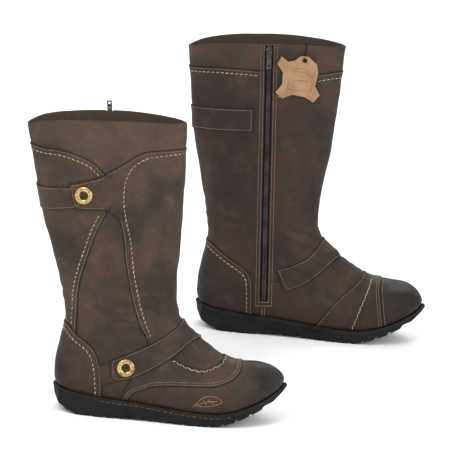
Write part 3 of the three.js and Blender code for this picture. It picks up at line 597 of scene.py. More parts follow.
class Upper:
    """The cut and shaped leather of one boot, and where its finished surface lies."""

    def __init__(self, shape, side, material):
        self.shape, self.side = shape, side
        t, phi, faces, names = build_upper(shape)
        skin, normal = shape.skin(t, phi), shape.normal(t, phi)
        bump = relief(skin, side) * calm(shape, phi, skin)
        owners = edge_owners(faces, names)
        surface = []
        for name in MARKS:
            mine = faces[names == name]
            used, local = np.unique(mine, return_inverse=True)
            local = local.reshape(mine.shape)
            p, n = skin[used], normal[used]
            over, under, free = [], [], []
            for a, b in border_edges(local):
                key = tuple(sorted((used[a], used[b])))
                other = [o for o in owners[key] if o != name]
                kind = free if not other or not other[0] else over if RANK[name] > RANK[other[0]] else under
                kind.append((p[a], p[b]))
            over, under, free = (np.array(k).reshape(-1, 2, 3) for k in (over, under, free))
            d_over, d_under, d_free = (border_distance(p, k) for k in (over, under, free))
            height = LIFT * np.exp(-((d_over / LIFT_REACH) ** 2)) - rounded(d_over, ROUNDING)
            height -= 0.25 * np.exp(-((d_under / 2.5) ** 2)) + rounded(d_free, 0.6)
            top = p + n * (height + bump[used])[:, None]
            bottom = p + n * (bump[used] - LEATHER + 0.1)[:, None]
            verts, sides = solidify(top, bottom, local)
            rim = np.minimum(d_over, np.minimum(d_under, d_free))
            toe_burn = np.clip((p[:, 0] - 208) / 46, 0, 1) ** 1.2
            heel_burn = np.clip((30 - p[:, 0]) / 28, 0, 1) * np.clip((125 - p[:, 2]) / 60, 0, 1)
            burn = np.maximum(toe_burn, 0.9 * heel_burn)
            attributes = {"burn": np.concatenate([burn, burn]),
                          "edge": np.concatenate([rim, np.zeros(len(p))]),
                          "lap": np.concatenate([d_over, d_over]),
                          "fold": np.concatenate([bump[used], bump[used]])}
            mesh_object(f"{side}_{name}_leather", verts, sides, side, "boots", material,
                        (f"{side}_{name}",), attributes)
            surface.append((top, local))
        self.skin_points = near_tree(skin)
        self.bump = bump
        self.verts, self.polys = [], []
        self.lay(*surface)

    def lay(self, *sheets):
        """Adds sheets to the surface that the stitches lie on."""
        for top, faces in sheets:
            start = len(self.verts)
            self.verts += [tuple(v) for v in top]
            self.polys += [tuple(int(i) + start for i in f) for f in faces]
        self.tree = BVHTree.FromPolygons(self.verts, self.polys)

    def on(self, t, phi, reach=9):
        """The finished surface's points over skin positions, and the outward directions."""
        p, n = self.shape.skin(t, phi), self.shape.normal(t, phi)
        hit = np.array(p)
        for i in range(len(p)):
            found = self.tree.ray_cast(tuple(p[i] + n[i] * reach), tuple(-n[i]), 2 * reach)[0]
            if found is not None:
                hit[i] = found
        return hit, n

    def relief_at(self, skin):
        return np.array([self.bump[self.skin_points.find(tuple(q))[1]] for q in skin])

    def patch(self, name, loops, base, thick, material, replaces=(), wrap=False, sunk=None):
        """A piece lying on the skin inside a closed loop of t, phi rows."""
        shape = self.shape
        uv = loop_chart(shape, loops, wrap)
        edges = [(i, (i + 1) % len(uv)) for i in range(len(uv))]
        low, high = uv.min(0), uv.max(0)
        gx, gy = np.meshgrid(*(np.arange(a, b, STRAP_GRID) for a, b in zip(low, high)))
        grid = np.stack([gx.ravel(), gy.ravel()], 1)
        inner = np.vstack([uv + inward(uv) * d for d in (0.25, 0.75, 1.7)])
        inner = inner[in_loop(inner, uv)]
        inner = spaced(inner, uv, 0.2)
        grid = grid[in_loop(grid, uv)]
        grid = spaced(grid, np.vstack([uv, inner]), 1.2)
        pts, tri, _ = triangulate(np.vstack([uv, inner, grid]), edges)
        tri = tri[in_loop(pts[tri].mean(1), uv)]
        used, tri = np.unique(tri, return_inverse=True)
        tri = tri.reshape(-1, 3)
        pts = pts[used]
        t, phi = shape.unchart(pts)
        p, n = shape.skin(t, phi), shape.normal(t, phi)
        bump = self.relief_at(p)
        border = border_edges(tri)
        dist = border_distance(p, np.stack([p[border[:, 0]], p[border[:, 1]]], 1))
        high = base + thick - rounded(dist, STRAP_ROUNDING) + 0.12 * np.exp(-((dist - 3) / 3) ** 2)
        low = np.full(len(p), base - 0.15)
        if sunk:
            # this end runs into the panel that the piece is cut from
            along = np.clip((p[:, 0] - shape.leaned(p[:, 2]) - sunk[0]) / (sunk[1] - sunk[0]), 0, 1)
            along = along ** 2 * (3 - 2 * along)
            high = high - (base + thick + 0.5) * along
            low = low - (base + 0.9) * along
            dist = np.maximum(dist, 3 * along)
        top = p + n * (high + bump)[:, None]
        bottom = p + n * (low + bump)[:, None]
        verts, sides = solidify(top, bottom, tri)
        none = np.zeros(len(p))
        attributes = {"burn": np.concatenate([none, none]), "edge": np.concatenate([dist, none]),
                      "lap": np.concatenate([dist, none]), "fold": np.concatenate([bump, bump])}
        mesh_object(f"{self.side}_{name}", verts, sides, self.side, "boots", material,
                    tuple(f"{self.side}_{r}" for r in replaces), attributes)
        self.lay((top, tri))


def loop_chart(shape, loops, wrap):
    """A strap's loop in the chart, without doubled points, and smooth where it crosses the centre plane."""
    t, phi = np.vstack(loops).T
    if wrap:
        phi = np.where(phi < 0, phi + TURN, phi)
    uv = shape.chart(t, phi)
    uv = uv[np.linalg.norm(uv - np.roll(uv, 1, 0), axis=1) > 0.05]
    half = math.pi * shape.ROUND
    near = np.minimum(np.abs(uv[:, 0]), np.abs(uv[:, 0] - half)) < 20
    for _ in range(40):
        eased = 0.25 * np.roll(uv, 1, 0) + 0.5 * uv + 0.25 * np.roll(uv, -1, 0)
        uv = np.where(near[:, None], eased, uv)
    return uv


def inward(uv):
    """Directions into a closed loop of chart points."""
    d = np.roll(uv, -1, 0) - np.roll(uv, 1, 0)
    d /= np.linalg.norm(d, axis=1)[:, None]
    area = (uv[:, 0] * np.roll(uv[:, 1], -1) - uv[:, 1] * np.roll(uv[:, 0], -1)).sum()
    return np.stack([-d[:, 1], d[:, 0]], 1) * (1 if area > 0 else -1)


def in_loop(points, loop):
    """Which chart points lie inside a closed loop."""
    x, y = points[:, 0][:, None], points[:, 1][:, None]
    ax, ay = loop[:, 0][None], loop[:, 1][None]
    bx, by = np.roll(loop[:, 0], -1)[None], np.roll(loop[:, 1], -1)[None]
    cross = (ay > y) != (by > y)
    with np.errstate(divide="ignore", invalid="ignore"):
        at = (bx - ax) * (y - ay) / (by - ay) + ax
    return (cross & (x < at)).sum(1) % 2 == 1


# ------------------------------------------------------------------ materials
def linear(code):
    parts = [int(code[i:i + 2], 16) / 255 for i in (0, 2, 4)]
    return tuple(c / 12.92 if c <= 0.04045 else ((c + 0.055) / 1.055) ** 2.4 for c in parts) + (1.0,)


class Finish:
    """A node material, built up step by step."""

    def __init__(self, name, roughness=0.6, metallic=0.0, specular=0.5):
        self.mat = bpy.data.materials.new(name)
        self.mat.use_nodes = True
        self.tree = self.mat.node_tree
        self.shader = self.tree.nodes["Principled BSDF"]
        self.shader.inputs["Roughness"].default_value = roughness
        self.shader.inputs["Metallic"].default_value = metallic
        self.shader.inputs["Specular IOR Level"].default_value = specular
        self.coords = self.tree.nodes.new("ShaderNodeTexCoord").outputs["Object"]

    def put(self, socket, value):
        if isinstance(value, bpy.types.NodeSocket):
            self.tree.links.new(value, socket)
        elif value is not None:
            socket.default_value = value

    def noise(self, scale, detail=4, rough=0.55, distortion=0.0):
        n = self.tree.nodes.new("ShaderNodeTexNoise")
        self.put(n.inputs["Vector"], self.coords)
        values = {"Scale": scale, "Detail": detail, "Roughness": rough, "Distortion": distortion}
        for key, value in values.items():
            n.inputs[key].default_value = value
        return n.outputs["Fac"]

    def cells(self, scale, feature="F1"):
        n = self.tree.nodes.new("ShaderNodeTexVoronoi")
        n.feature = feature
        self.put(n.inputs["Vector"], self.coords)
        n.inputs["Scale"].default_value = scale
        return n.outputs["Distance"]

    def wave(self, scale, direction="X", distortion=0.0):
        n = self.tree.nodes.new("ShaderNodeTexWave")
        n.bands_direction = direction
        self.put(n.inputs["Vector"], self.coords)
        n.inputs["Scale"].default_value = scale
        n.inputs["Distortion"].default_value = distortion
        return n.outputs["Fac"]

    def attribute(self, name):
        n = self.tree.nodes.new("ShaderNodeAttribute")
        n.attribute_name = name
        return n.outputs["Fac"]

    def axis(self, which):
        n = self.tree.nodes.new("ShaderNodeSeparateXYZ")
        self.put(n.inputs[0], self.coords)
        return n.outputs[which]

    def math(self, kind, a, b):
        n = self.tree.nodes.new("ShaderNodeMath")
        n.operation = kind
        self.put(n.inputs[0], a)
        self.put(n.inputs[1], b)
        return n.outputs[0]

    def span(self, value, low, high, to_low=0.0, to_high=1.0):
        n = self.tree.nodes.new("ShaderNodeMapRange")
        n.interpolation_type = "SMOOTHSTEP"
        values = {"Value": value, "From Min": low, "From Max": high, "To Min": to_low, "To Max": to_high}
        for key, v in values.items():
            self.put(n.inputs[key], v)
        return n.outputs[0]

    def mix(self, factor, a, b):
        n = self.tree.nodes.new("ShaderNodeMix")
        n.data_type = "RGBA"
        self.put(n.inputs[0], factor)
        self.put(n.inputs[6], linear(a) if isinstance(a, str) else a)
        self.put(n.inputs[7], linear(b) if isinstance(b, str) else b)
        return n.outputs[2]

    def bump(self, height, strength, distance, under=None):
        n = self.tree.nodes.new("ShaderNodeBump")
        n.inputs["Strength"].default_value = strength
        n.inputs["Distance"].default_value = distance
        self.put(n.inputs["Height"], height)
        self.put(n.inputs["Normal"], under)
        return n.outputs[0]

    def done(self, colour, roughness=None, normal=None):
        self.put(self.shader.inputs["Base Color"], colour)
        self.put(self.shader.inputs["Roughness"], roughness)
        self.put(self.shader.inputs["Normal"], normal)
        return self.mat


def leather_finish(name, clear, worn, pale):
    f = Finish(name, 0.62, specular=0.26)
    cloud = f.noise(15, 4, 0.5, 0.5)
    patchy = f.noise(48, 6, 0.62, 0.4)
    fine = f.noise(420, 4, 0.6)
    colour = f.mix(f.span(cloud, 0.34, 0.66), worn, clear)
    colour = f.mix(f.span(patchy, 0.52, 0.72, 0, 0.45), colour, "232022")
    colour = f.mix(f.span(patchy, 0.46, 0.28, 0, 0.4), colour, pale)
    colour = f.mix(f.span(fine, 0.42, 0.7, 0, 0.35), colour, "1c1612")
    # painted shade: darker where the relief sinks into dents and creases; painted highlight: paler where it
    # rises
    colour = f.mix(f.span(f.attribute("fold"), -0.2, -1.3, 0, 0.4), colour, "1a1411")
    colour = f.mix(f.span(f.attribute("fold"), 0.4, 1.5, 0, 0.35), colour, pale)
    # painted highlight: the upper shaft, from about 0.28 to 0.35 m up, made lighter
    high = f.span(f.axis(2), 0.28, 0.35, 0, 0.22)
    colour = f.mix(f.math("MULTIPLY", high, f.span(cloud, 0.3, 0.6, 0.5, 1)), colour, "5d4b3a")
    low = f.span(f.axis(2), 0.075, 0.02, 0, 0.6)
    colour = f.mix(f.math("MULTIPLY", low, f.span(cloud, 0.3, 0.6, 0.5, 1)), colour, "2b1a11")
    burnt = f.math("MULTIPLY", f.attribute("burn"), f.span(patchy, 0.2, 0.6, 0.6, 0.95))
    colour = f.mix(burnt, colour, "150f0c")
    colour = f.mix(f.span(f.attribute("lap"), 5.5, 0.8, 0, 0.5), colour, "1b1410")
    colour = f.mix(f.span(f.attribute("edge"), 0.75, 0.1, 0, 0.8), colour, "0e0a08")
    grain = f.cells(1150)
    pores = f.cells(420, "SMOOTH_F1")
    creases = f.noise(190, 6, 0.7, 1.6)
    normal = f.bump(grain, 0.3, 0.00022)
    normal = f.bump(pores, 0.3, 0.0004, normal)
    normal = f.bump(creases, 0.35, 0.0009, normal)
    puckers = f.math("MULTIPLY", f.noise(330, 2, 0.4), f.span(f.attribute("lap"), 8.5, 5.5))
    normal = f.bump(puckers, 0.6, 0.0012, normal)
    rough = f.span(patchy, 0.3, 0.7, 0.54, 0.74)
    return f.done(colour, rough, normal)


def thread_finish(name, light, dark):
    f = Finish(name, 0.75, specular=0.3)
    twist = f.wave(900, "DIAGONAL", 1.5)
    colour = f.mix(f.span(f.noise(160, 3), 0.35, 0.65), light, dark)
    colour = f.mix(f.span(twist, 0.2, 0.8, 0, 0.3), colour, dark)
    return f.done(colour, None, f.bump(twist, 0.5, 0.0002))


def fabric_finish(name, light, dark, threads=1400, roughness=0.9):
    f = Finish(name, roughness, specular=0.2)
    weave = f.math("MULTIPLY", f.wave(threads, "X", 0.4), f.wave(threads, "Z", 0.4))
    colour = f.mix(f.span(f.noise(60, 5), 0.35, 0.65), light, dark)
    colour = f.mix(f.span(weave, 0.1, 0.7, 0, 0.5), dark, colour)
    return f.done(colour, None, f.bump(weave, 0.5, 0.0003))


def rubber_finish(name, light, dark, dusty):
    f = Finish(name, 0.7, specular=0.18)
    cloud = f.noise(45, 5, 0.6)
    colour = f.mix(f.span(cloud, 0.35, 0.65), light, dark)
    colour = f.mix(f.span(f.noise(260, 5, 0.7), 0.55, 0.75, 0, 0.4), colour, dusty)
    rough = f.span(cloud, 0.3, 0.7, 0.52, 0.75)
    return f.done(colour, rough, f.bump(f.noise(900, 4, 0.6), 0.25, 0.0003))


def metal_finish(name, light, dark, roughness, worn):
    f = Finish(name, roughness, 1.0)
    cloud = f.noise(180, 5, 0.65)
    colour = f.mix(f.span(cloud, 0.35, 0.68), light, dark)
    colour = f.mix(f.span(f.noise(700, 3), 0.6, 0.8, 0, 0.6), colour, worn)
    rough = f.span(cloud, 0.3, 0.7, roughness - 0.08, roughness + 0.15)
    return f.done(colour, rough, f.bump(f.noise(1500, 3), 0.15, 0.0001))


def card_finish(name, light, dark, fleck):
    f = Finish(name, 0.85, specular=0.25)
    fibre = f.noise(350, 6, 0.75, 0.6)
    colour = f.mix(f.span(f.noise(35, 4), 0.35, 0.65), light, dark)
    colour = f.mix(f.span(fibre, 0.55, 0.72, 0, 0.45), colour, fleck)
    return f.done(colour, None, f.bump(fibre, 0.3, 0.0003))


# ------------------------------------------------------------------ small pieces of mesh
class Bits:
    """Many small capsules gathered into one mesh."""

    def __init__(self, sides=6):
        self.verts, self.faces, self.sides = [], [], sides
        angle = np.arange(sides) * TURN / sides
        self.ring = np.stack([np.cos(angle), np.sin(angle)], 1)

    def tube(self, path, radii, outward):
        """A closed tube along the path, flattened to nothing at its ends."""
        path, radii = np.asarray(path, float), np.asarray(radii, float)
        along = np.gradient(path, axis=0)
        along /= np.maximum(np.linalg.norm(along, axis=1), 1e-9)[:, None]
        side = np.cross(along, outward)
        side /= np.maximum(np.linalg.norm(side, axis=1), 1e-9)[:, None]
        up = np.cross(side, along)
        start = len(self.verts)
        n = self.sides
        for c, r, s, u in zip(path, radii, side, up):
            self.verts += [c + (s * a + u * b) * r for a, b in self.ring]
        for k in range(len(path) - 1):
            for i in range(n):
                j = (i + 1) % n
                a, b = start + k * n, start + (k + 1) * n
                self.faces.append((a + i, b + i, b + j, a + j))
        self.faces.append(tuple(start + i for i in range(n)))
        self.faces.append(tuple(start + (len(path) - 1) * n + i for i in reversed(range(n))))

    def row(self, upper, line, pitch, length, radius, zigzag=0.0, sunk=0.25, tilt=0.0, clear=None):
        """Stitches along a line of t, phi on the finished leather."""
        shape = upper.shape
        p = shape.skin(line[:, 0], line[:, 1])
        s = np.concatenate([[0], np.cumsum(np.linalg.norm(np.diff(p, axis=0), axis=1))])
        starts = np.arange(0.4, s[-1] - length, pitch)
        if not len(starts):
            return
        share = np.array([0, 0.18, 0.5, 0.82, 1])
        at = (starts[:, None] + share[None] * length).ravel()
        t, phi = np.interp(at, s, line[:, 0]), np.interp(at, s, line[:, 1])
        if clear is not None:
            middle = shape.skin(t[2::5], phi[2::5])
            keep = np.array([clear(m) for m in middle])
            if not keep.any():
                return
            starts = starts[keep]
            keep = np.repeat(keep, 5)
            t, phi = t[keep], phi[keep]
        hit, n = upper.on(t, phi)
        lift = np.tile(np.array([-0.7, 0.35, 0.62, 0.35, -0.7]) * radius - sunk * radius, len(starts))
        points = hit + n * lift[:, None]
        radii = np.array([0.6, 0.95, 1.0, 0.95, 0.6]) * radius
        for k in range(len(starts)):
            path, out = points[5 * k:5 * k + 5], n[5 * k:5 * k + 5]
            if zigzag or tilt:
                along = path[-1] - path[0]
                across = np.cross(along, out[2])
                across /= max(np.linalg.norm(across), 1e-9)
                swing = zigzag * (1 if k % 2 else -1) + tilt
                path = path + across * ((share - 0.5) * 2 * swing)[:, None]
            self.tube(path, radii, out)

    def object(self, name, side, body, material, slot, replaces=(), sharp=0):
        return mesh_object(name, self.verts, self.faces, side, body, material, replaces, sharp=sharp)


def lathe(profile, steps):
    """Points and faces of a closed ring profile (radius, height) turned round the third axis."""
    profile = np.asarray(profile, float)
    angle = np.arange(steps) * TURN / steps
    verts = np.stack([np.outer(np.cos(angle), profile[:, 0]), np.outer(np.sin(angle), profile[:, 0]),
                      np.tile(profile[:, 1], (steps, 1))], -1).reshape(-1, 3)
    n = len(profile)
    faces = []
    for i in range(steps):
        j = (i + 1) % steps
        for k in range(n):
            m = (k + 1) % n
            faces.append((i * n + k, j * n + k, j * n + m, i * n + m))
    return verts, faces


def carried(node, material, slot, bevel, body="boots"):
    """A CAD piece redrawn with softened edges, standing for the CAD node."""
    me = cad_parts[node].data.copy()
    me.materials.clear()
    ob = bpy.data.objects.new(node + "_finished", me)
    bpy.context.scene.collection.objects.link(ob)
    me.materials.append(material)
    if bevel:
        m = ob.modifiers.new("edges", "BEVEL")
        m.width, m.segments, m.limit_method = bevel * MM, 2, "ANGLE"
        m.angle_limit = math.radians(38)
        m.use_clamp_overlap = not node.endswith("_welt")
        graph = bpy.context.evaluated_depsgraph_get()
        done = bpy.data.meshes.new_from_object(ob.evaluated_get(graph))
        ob.modifiers.clear()
        ob.data = done
    ob.data.shade_smooth()
    ob.data.set_sharp_from_angle(angle=math.radians(40))
    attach(ob, body)
    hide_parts(node)
    return ob


# ------------------------------------------------------------------ camera, then the tag's cord
def shank_centre(side):
    low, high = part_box(f"{side}_shank")
    return np.array((low + high) / 2) / MM


STAND = {"right": shank_centre("right") - [94, -1, 0], "left": shank_centre("left") - [94, 1, 0]}
for stand in STAND.values():
    stand[2] = 0

RISE, ROLL = math.radians(15.5), math.radians(4.2)
REACH, SEEN_WIDTH = 20.0, 0.561
forward = Vector((0, math.cos(RISE), -math.sin(RISE)))
level, upright = Vector((1, 0, 0)), Vector((0, math.sin(RISE), math.cos(RISE)))
right = level * math.cos(ROLL) + upright * math.sin(ROLL)
above = upright * math.cos(ROLL) - level * math.sin(ROLL)
lens = bpy.data.cameras.new("view")
lens.sensor_width = 36
lens.lens = 36 * REACH / SEEN_WIDTH
lens.clip_start, lens.clip_end = 1, 100
view = bpy.data.objects.new("view", lens)
turn = Matrix((right, above, -forward)).transposed().to_4x4()
view.matrix_world = Matrix.Translation(Vector((0.0033, 0, 0.1784)) - forward * REACH) @ turn
bpy.context.scene.collection.objects.link(view)
bpy.context.scene.camera = view

TAG_HOLE = np.array([111.36, 28.76, 352.08])
TAG_AXES = np.array([[-0.986256, 0.156833, 0.051988], [0.048245, -0.027584, 0.998455],
                     [0.158024, 0.98724, 0.019639]])
TAG_AXES /= np.linalg.norm(TAG_AXES, axis=1)[:, None]
TAG_CORD = np.array([[-2, -6, -11], [-2, 8, -10.9], [-1.6, 16.5, -10.6], [-1.4, 20, -7], [-1, 16.5, -2.9],
                     [-0.5, 6, -2.4], [-0.2, 1.6, -1.6], [0, 0, 0.4], [0, -0.4, 3.9]])
CORD_RADIUS = 0.7


def centripetal(points, per):
    """A centripetal Catmull-Rom curve through the points."""
    p = np.vstack([2 * points[0] - points[1], points, 2 * points[-1] - points[-2]])
    out = []
    for a, b, c, d in zip(p[:-3], p[1:-2], p[2:-1], p[3:]):
        t0 = 0
        t1 = t0 + np.linalg.norm(b - a) ** 0.5
        t2 = t1 + np.linalg.norm(c - b) ** 0.5
        t3 = t2 + np.linalg.norm(d - c) ** 0.5
        for t in np.linspace(t1, t2, per, endpoint=False):
            ab, bc, cd = (x * (hi - t) / (hi - lo) + y * (t - lo) / (hi - lo)
                          for x, y, lo, hi in ((a, b, t0, t1), (b, c, t1, t2), (c, d, t2, t3)))
            abc = ab * (t2 - t) / (t2 - t0) + bc * (t - t0) / (t2 - t0)
            bcd = bc * (t3 - t) / (t3 - t1) + cd * (t - t1) / (t3 - t1)
            out.append(abc * (t2 - t) / (t2 - t1) + bcd * (t - t1) / (t2 - t1))
    return np.array(out + [points[-1]])


def tag_points(points):
    """Tag-frame millimetres (across, up, out) to boot-local ones."""
    return TAG_HOLE + np.asarray(points, float) @ TAG_AXES


cord_finish = fabric_finish("waxed_cord", "1b1a1c", "0c0c0e", 2600, 0.55)
cord_path = centripetal(tag_points(TAG_CORD), 10)
strands = Bits(10)
away = np.tile(TAG_AXES[0], (len(cord_path), 1))
twist = 1 + 0.06 * np.sin(np.arange(len(cord_path)) * 1.4)
strands.tube(cord_path, np.full(len(cord_path), CORD_RADIUS) * np.clip(twist, 0.9, 1.04), away)
tag_cord = strands.object("tag_cord_waxed", "left", "boots", cord_finish, "cord", ("tag_cord",), sharp=35)

# a knot in front of the tag, wound from the same cord
knot_centre = cord_path[-1]
turns = np.linspace(0, TURN, 80, endpoint=False)
winding = np.stack([(1.75 + 0.55 * np.cos(3 * turns)) * np.cos(2 * turns),
                    (1.6 + 0.55 * np.cos(3 * turns)) * np.sin(2 * turns), 1.0 * np.sin(3 * turns)], 1)
knot_path = knot_centre + winding @ TAG_AXES
knot = Bits(8)
closed = np.vstack([knot_path, knot_path[:1]])
knot.tube(closed, np.full(len(closed), 0.72), np.tile(TAG_AXES[2] + 0.3 * TAG_AXES[0], (len(closed), 1)))
tag_knot = knot.object("tag_knot", "left", "boots", cord_finish, "cord", sharp=35)
cord_world = to_row(cord_path, "left")
tuple(cord_world[0])
[tuple(p) for p in cord_world]


# ------------------------------------------------------------------ finishes
# the left boot's copy is darker: painted shade for the boot that stands further back
LEATHERS = {"right": leather_finish("leather_right", "3f2f23", "2c221b", "503d2e"),
            "left": leather_finish("leather_left", "36251a", "251a15", "46342a")}
fine_thread = thread_finish("tan_thread", "a38c6c", "7d6a52")
bold_thread = thread_finish("pale_thread", "c9b99e", "93805f")
sole_thread = thread_finish("rust_thread", "7d5236", "553524")
lining_cloth = fabric_finish("lining_cloth", "5f5043", "463a30", 1100)
felt = fabric_finish("footbed_felt", "3d3530", "2a2420", 700)
board = card_finish("fibre_board", "93805f", "776549", "a8967a")
rubber = rubber_finish("sole_rubber", "131210", "0c0c0b", "23211e")
welt_rubber = rubber_finish("welt_rubber", "181815", "11110f", "262520")
steel = metal_finish("shank_steel", "a3a3a6", "86868a", 0.4, "c4c4c6")
brass = metal_finish("aged_brass", "cdb27a", "8c6f40", 0.3, "efdcae")
gunmetal = metal_finish("dark_plating", "5e5a5c", "3a3739", 0.3, "8e8987")
nickel = metal_finish("worn_nickel", "a9a8a8", "77767a", 0.28, "d0cfcf")
cap_metal = metal_finish("dark_recess", "4a3e2d", "2a241b", 0.35, "8a744a")
tape_cloth = fabric_finish("tape_weave", "2e2427", "1d1719", 2200)
coil_nylon = rubber_finish("coil_nylon", "4d4144", "352c2f", "7a6c70")
card = card_finish("kraft_card", "9a7c5e", "87694d", "6b4f36")
print_ink = card_finish("card_stamp", "6b3323", "552a1d", "8a5740")


# ------------------------------------------------------------------ the boots
BACK_STRAP = ([[-70, 278], [-32, 276], [7, 281.5], [22, 284], [26, 259], [15.5, 255.2], [-23, 247],
               [-70, 247]],
              [[-70, 278], [-28, 279.5], [47, 286], [49.5, 256], [-20, 250.5], [-70, 247]])
# where the tab sinks into the front panel that it is cut from
TAB_SUNK = 56.5, 66
STRAP_GRID, STRAP_ROUNDING, STRAP_INSET = 2.2, 0.7, 2.4
UPPER_TAB = [[10, 285], [26, 290.5], [43, 296.5], [53.5, 301], [66, 300], [66, 262], [58, 257.5], [45, 257.5],
             [22, 255.5], [15.5, 260], [12, 270]]
INSTEP_STRAP = ([[66, 71], [97.2, 85.5], [116.8, 95.6], [133.5, 106], [142.4, 112.6], [152, 124], [178, 100],
                 [166, 99], [156.5, 91], [143.3, 79.5], [129.7, 70.5], [114.6, 61.2], [96.5, 52], [76, 46.5],
                 [68, 51]],
                [[94, 83.6], [112, 88.5], [129, 96], [141, 107], [152, 124], [178, 100], [168, 97],
                 [147.2, 77.5], [131.1, 66], [107, 56.3]])
STRAP_BASE = [[51, 62.5], [58, 67.5], [70, 71.5], [84, 74], [88, 52], [74, 44.5], [66, 41.5], [56, 37]]


def open_run(shape, points, face):
    runs = shape.trace(points, face, closed=True)
    return runs[0] if len(runs) == 1 else np.vstack([runs[1], runs[0]])


def round_loop(shape, outer, inner):
    """One closed loop of a strap that goes round the boot's front or back."""
    return [open_run(shape, outer, -1), open_run(shape, inner, 1)[::-1]]


def sole_surface(side):
    """The sole's and welt's own sides, for the stitches along them, in boot-local millimetres."""
    trees = []
    for node in (f"{side}_outsole", f"{side}_welt"):
        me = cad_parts[node].data
        v = np.array([to_local(x.co, side) for x in me.vertices])
        trees.append(BVHTree.FromPolygons([tuple(p) for p in v], [tuple(f.vertices) for f in me.polygons]))
    return trees


def below(line, low, high):
    return line[(line[:, 1] > low) & (line[:, 1] < high)]


LINING_DEPTH, LINING_THICKNESS = 3.35, 1.1
TOP_DEPTH = 1.9                 # the lining comes nearer the leather at the topline
ZIP_DEPTH, ZIP_REACH = 0.5, 9   # and stands further in behind the zip
LINING_END = 16.6               # section row at the toe


def make_lining(upper):
    """The sock of lining cloth inside one boot, open at the topline."""
    shape, side = upper.shape, upper.side
    line = curve2(TOPLINE)
    around, rows = 96, 110
    phi = np.linspace(-math.pi, math.pi, around, endpoint=False)
    t_low, t_high = np.zeros(around), np.full(around, 3.0)
    for _ in range(30):
        mid = (t_low + t_high) / 2
        p = shape.skin(mid, phi)
        over = p[:, 2] > np.interp(p[:, 0] - shape.leaned(p[:, 2]), line[:, 0], line[:, 1])
        t_low, t_high = np.where(over, mid, t_low), np.where(over, t_high, mid)
    s = np.linspace(0, 1, rows)[:, None]
    t = t_low + (LINING_END - t_low) * s
    t[-1] = LINING_END
    angle = np.tile(phi, (rows, 1))
    p, n = shape.skin(t, angle), shape.normal(t, angle)
    foot, up, _, across, _ = zip_axis(shape)
    rel = p - foot
    beside = np.where((np.sin(angle.ravel()) > 0) & (rel @ up > -15), np.abs(rel @ across), 99)
    depth = LINING_DEPTH + ZIP_DEPTH * np.exp(-((beside / ZIP_REACH) ** 4))
    top = np.exp(-(((t - t_low) * 40 / 10) ** 2)).ravel()
    depth = depth - (depth - TOP_DEPTH) * top * (1 - np.exp(-((beside / 14) ** 4)))
    bump = upper.relief_at(p)
    outer = p + n * (bump - depth)[:, None]
    inner = p + n * (bump - depth - LINING_THICKNESS)[:, None]
    faces = []
    for i in range(rows - 1):
        for j in range(around):
            k = (j + 1) % around
            faces.append((i * around + j, i * around + k, (i + 1) * around + k, (i + 1) * around + j))
    count = rows * around
    solid = faces + [tuple(x + count for x in reversed(f)) for f in faces]
    for j in range(around):
        k = (j + 1) % around
        solid.append((k, j, j + count, k + count))
        a = (rows - 1) * around
        solid.append((a + j, a + k, a + k + count, a + j + count))
    sheets = np.vstack([outer, inner])
    mesh_object(f"{side}_lining_sock", sheets, solid, side, "boots", lining_cloth,
                (f"{side}_lining",), sharp=60)


def snap(upper, at, name):
    """A ring snap: a rounded ring with a stepped bore, small dark slots and a dished cap."""
    shape, side = upper.shape, upper.side
    t, phi, _ = shape.invert([at], -1)
    foot, out = shape.skin(t, phi)[0], shape.normal(t, phi)[0]
    east = np.cross([0, 0, 1.0], out)
    east /= np.linalg.norm(east)
    axes = np.array([east, np.cross(out, east), out])
    place = lambda v: foot + np.asarray(v) @ axes
    base = 2.1
    profile = [(5.4, base), (5.4, base + 2.0), (5.9, base + 2.5), (6.6, base + 2.75), (8, base + 2.8),
               (9.4, base + 2.6), (10.4, base + 2.1), (10.9, base + 1.3), (11, base + 0.6), (10.7, base)]
    v, f = lathe(profile, 72)
    mesh_object(f"{side}_{name}_ring", place(v), f, side, "boots", brass,
                (f"{side}_{name}_snap_ring",), sharp=35)
    low, high = base + 0.1, base + 1.2
    profile = [(0.02, low), (5.1, low), (5.1, high), (4.7, high + 0.35), (4.2, high + 0.3), (3.7, high - 0.1),
               (2.2, high - 0.45), (1.2, high - 0.3), (0.02, high - 0.25)]
    v, f = lathe(profile, 48)
    mesh_object(f"{side}_{name}_cap", place(v), f, side, "boots", cap_metal,
                (f"{side}_{name}_snap_cap",), sharp=35)
    slots = Bits(8)
    for k in range(10):
        a = TURN * (k + 0.3) / 10
        d = np.array([math.cos(a), math.sin(a)])
        r = np.array([7.0, 7.3, 8.1, 8.9, 9.2])
        path = place(np.column_stack([np.outer(r, d), base + np.array([2.5, 2.72, 2.78, 2.6, 2.3])]))
        slots.tube(path, [0.1, 0.32, 0.36, 0.32, 0.1], np.tile(out, (5, 1)))
    slots.object(f"{side}_{name}_ring_slots", side, "boots", gunmetal, "gunmetal")


def leaf(upper):
    """A small generic leaf outline, embroidered low on the outer toe."""
    outline = [[173, 27], [178, 33], [185, 37.5], [193, 38.5], [200, 36.5], [205, 32.5], [199, 29],
               [191, 26.5], [183, 25.5], [176, 26]]
    rib = [[170, 25], [180, 29], [190, 32], [199, 33]]
    sides = [[[181, 29.3], [184, 34.5]], [[187, 31], [191, 35.5]], [[184, 30], [188, 27.5]],
             [[191, 32], [196, 29.8]]]
    bits = Bits(5)
    lines = [curve2(outline + outline[:1]), curve2(rib)] + [np.array(s, float) for s in sides]
    for line in lines:
        for run in upper.shape.trace(line, -1, 0.8):
            bits.row(upper, run, 1.5, 1.35, 0.34)
    bits.object(f"{upper.side}_leaf_stitch", upper.side, "boots", fine_thread, "leather")


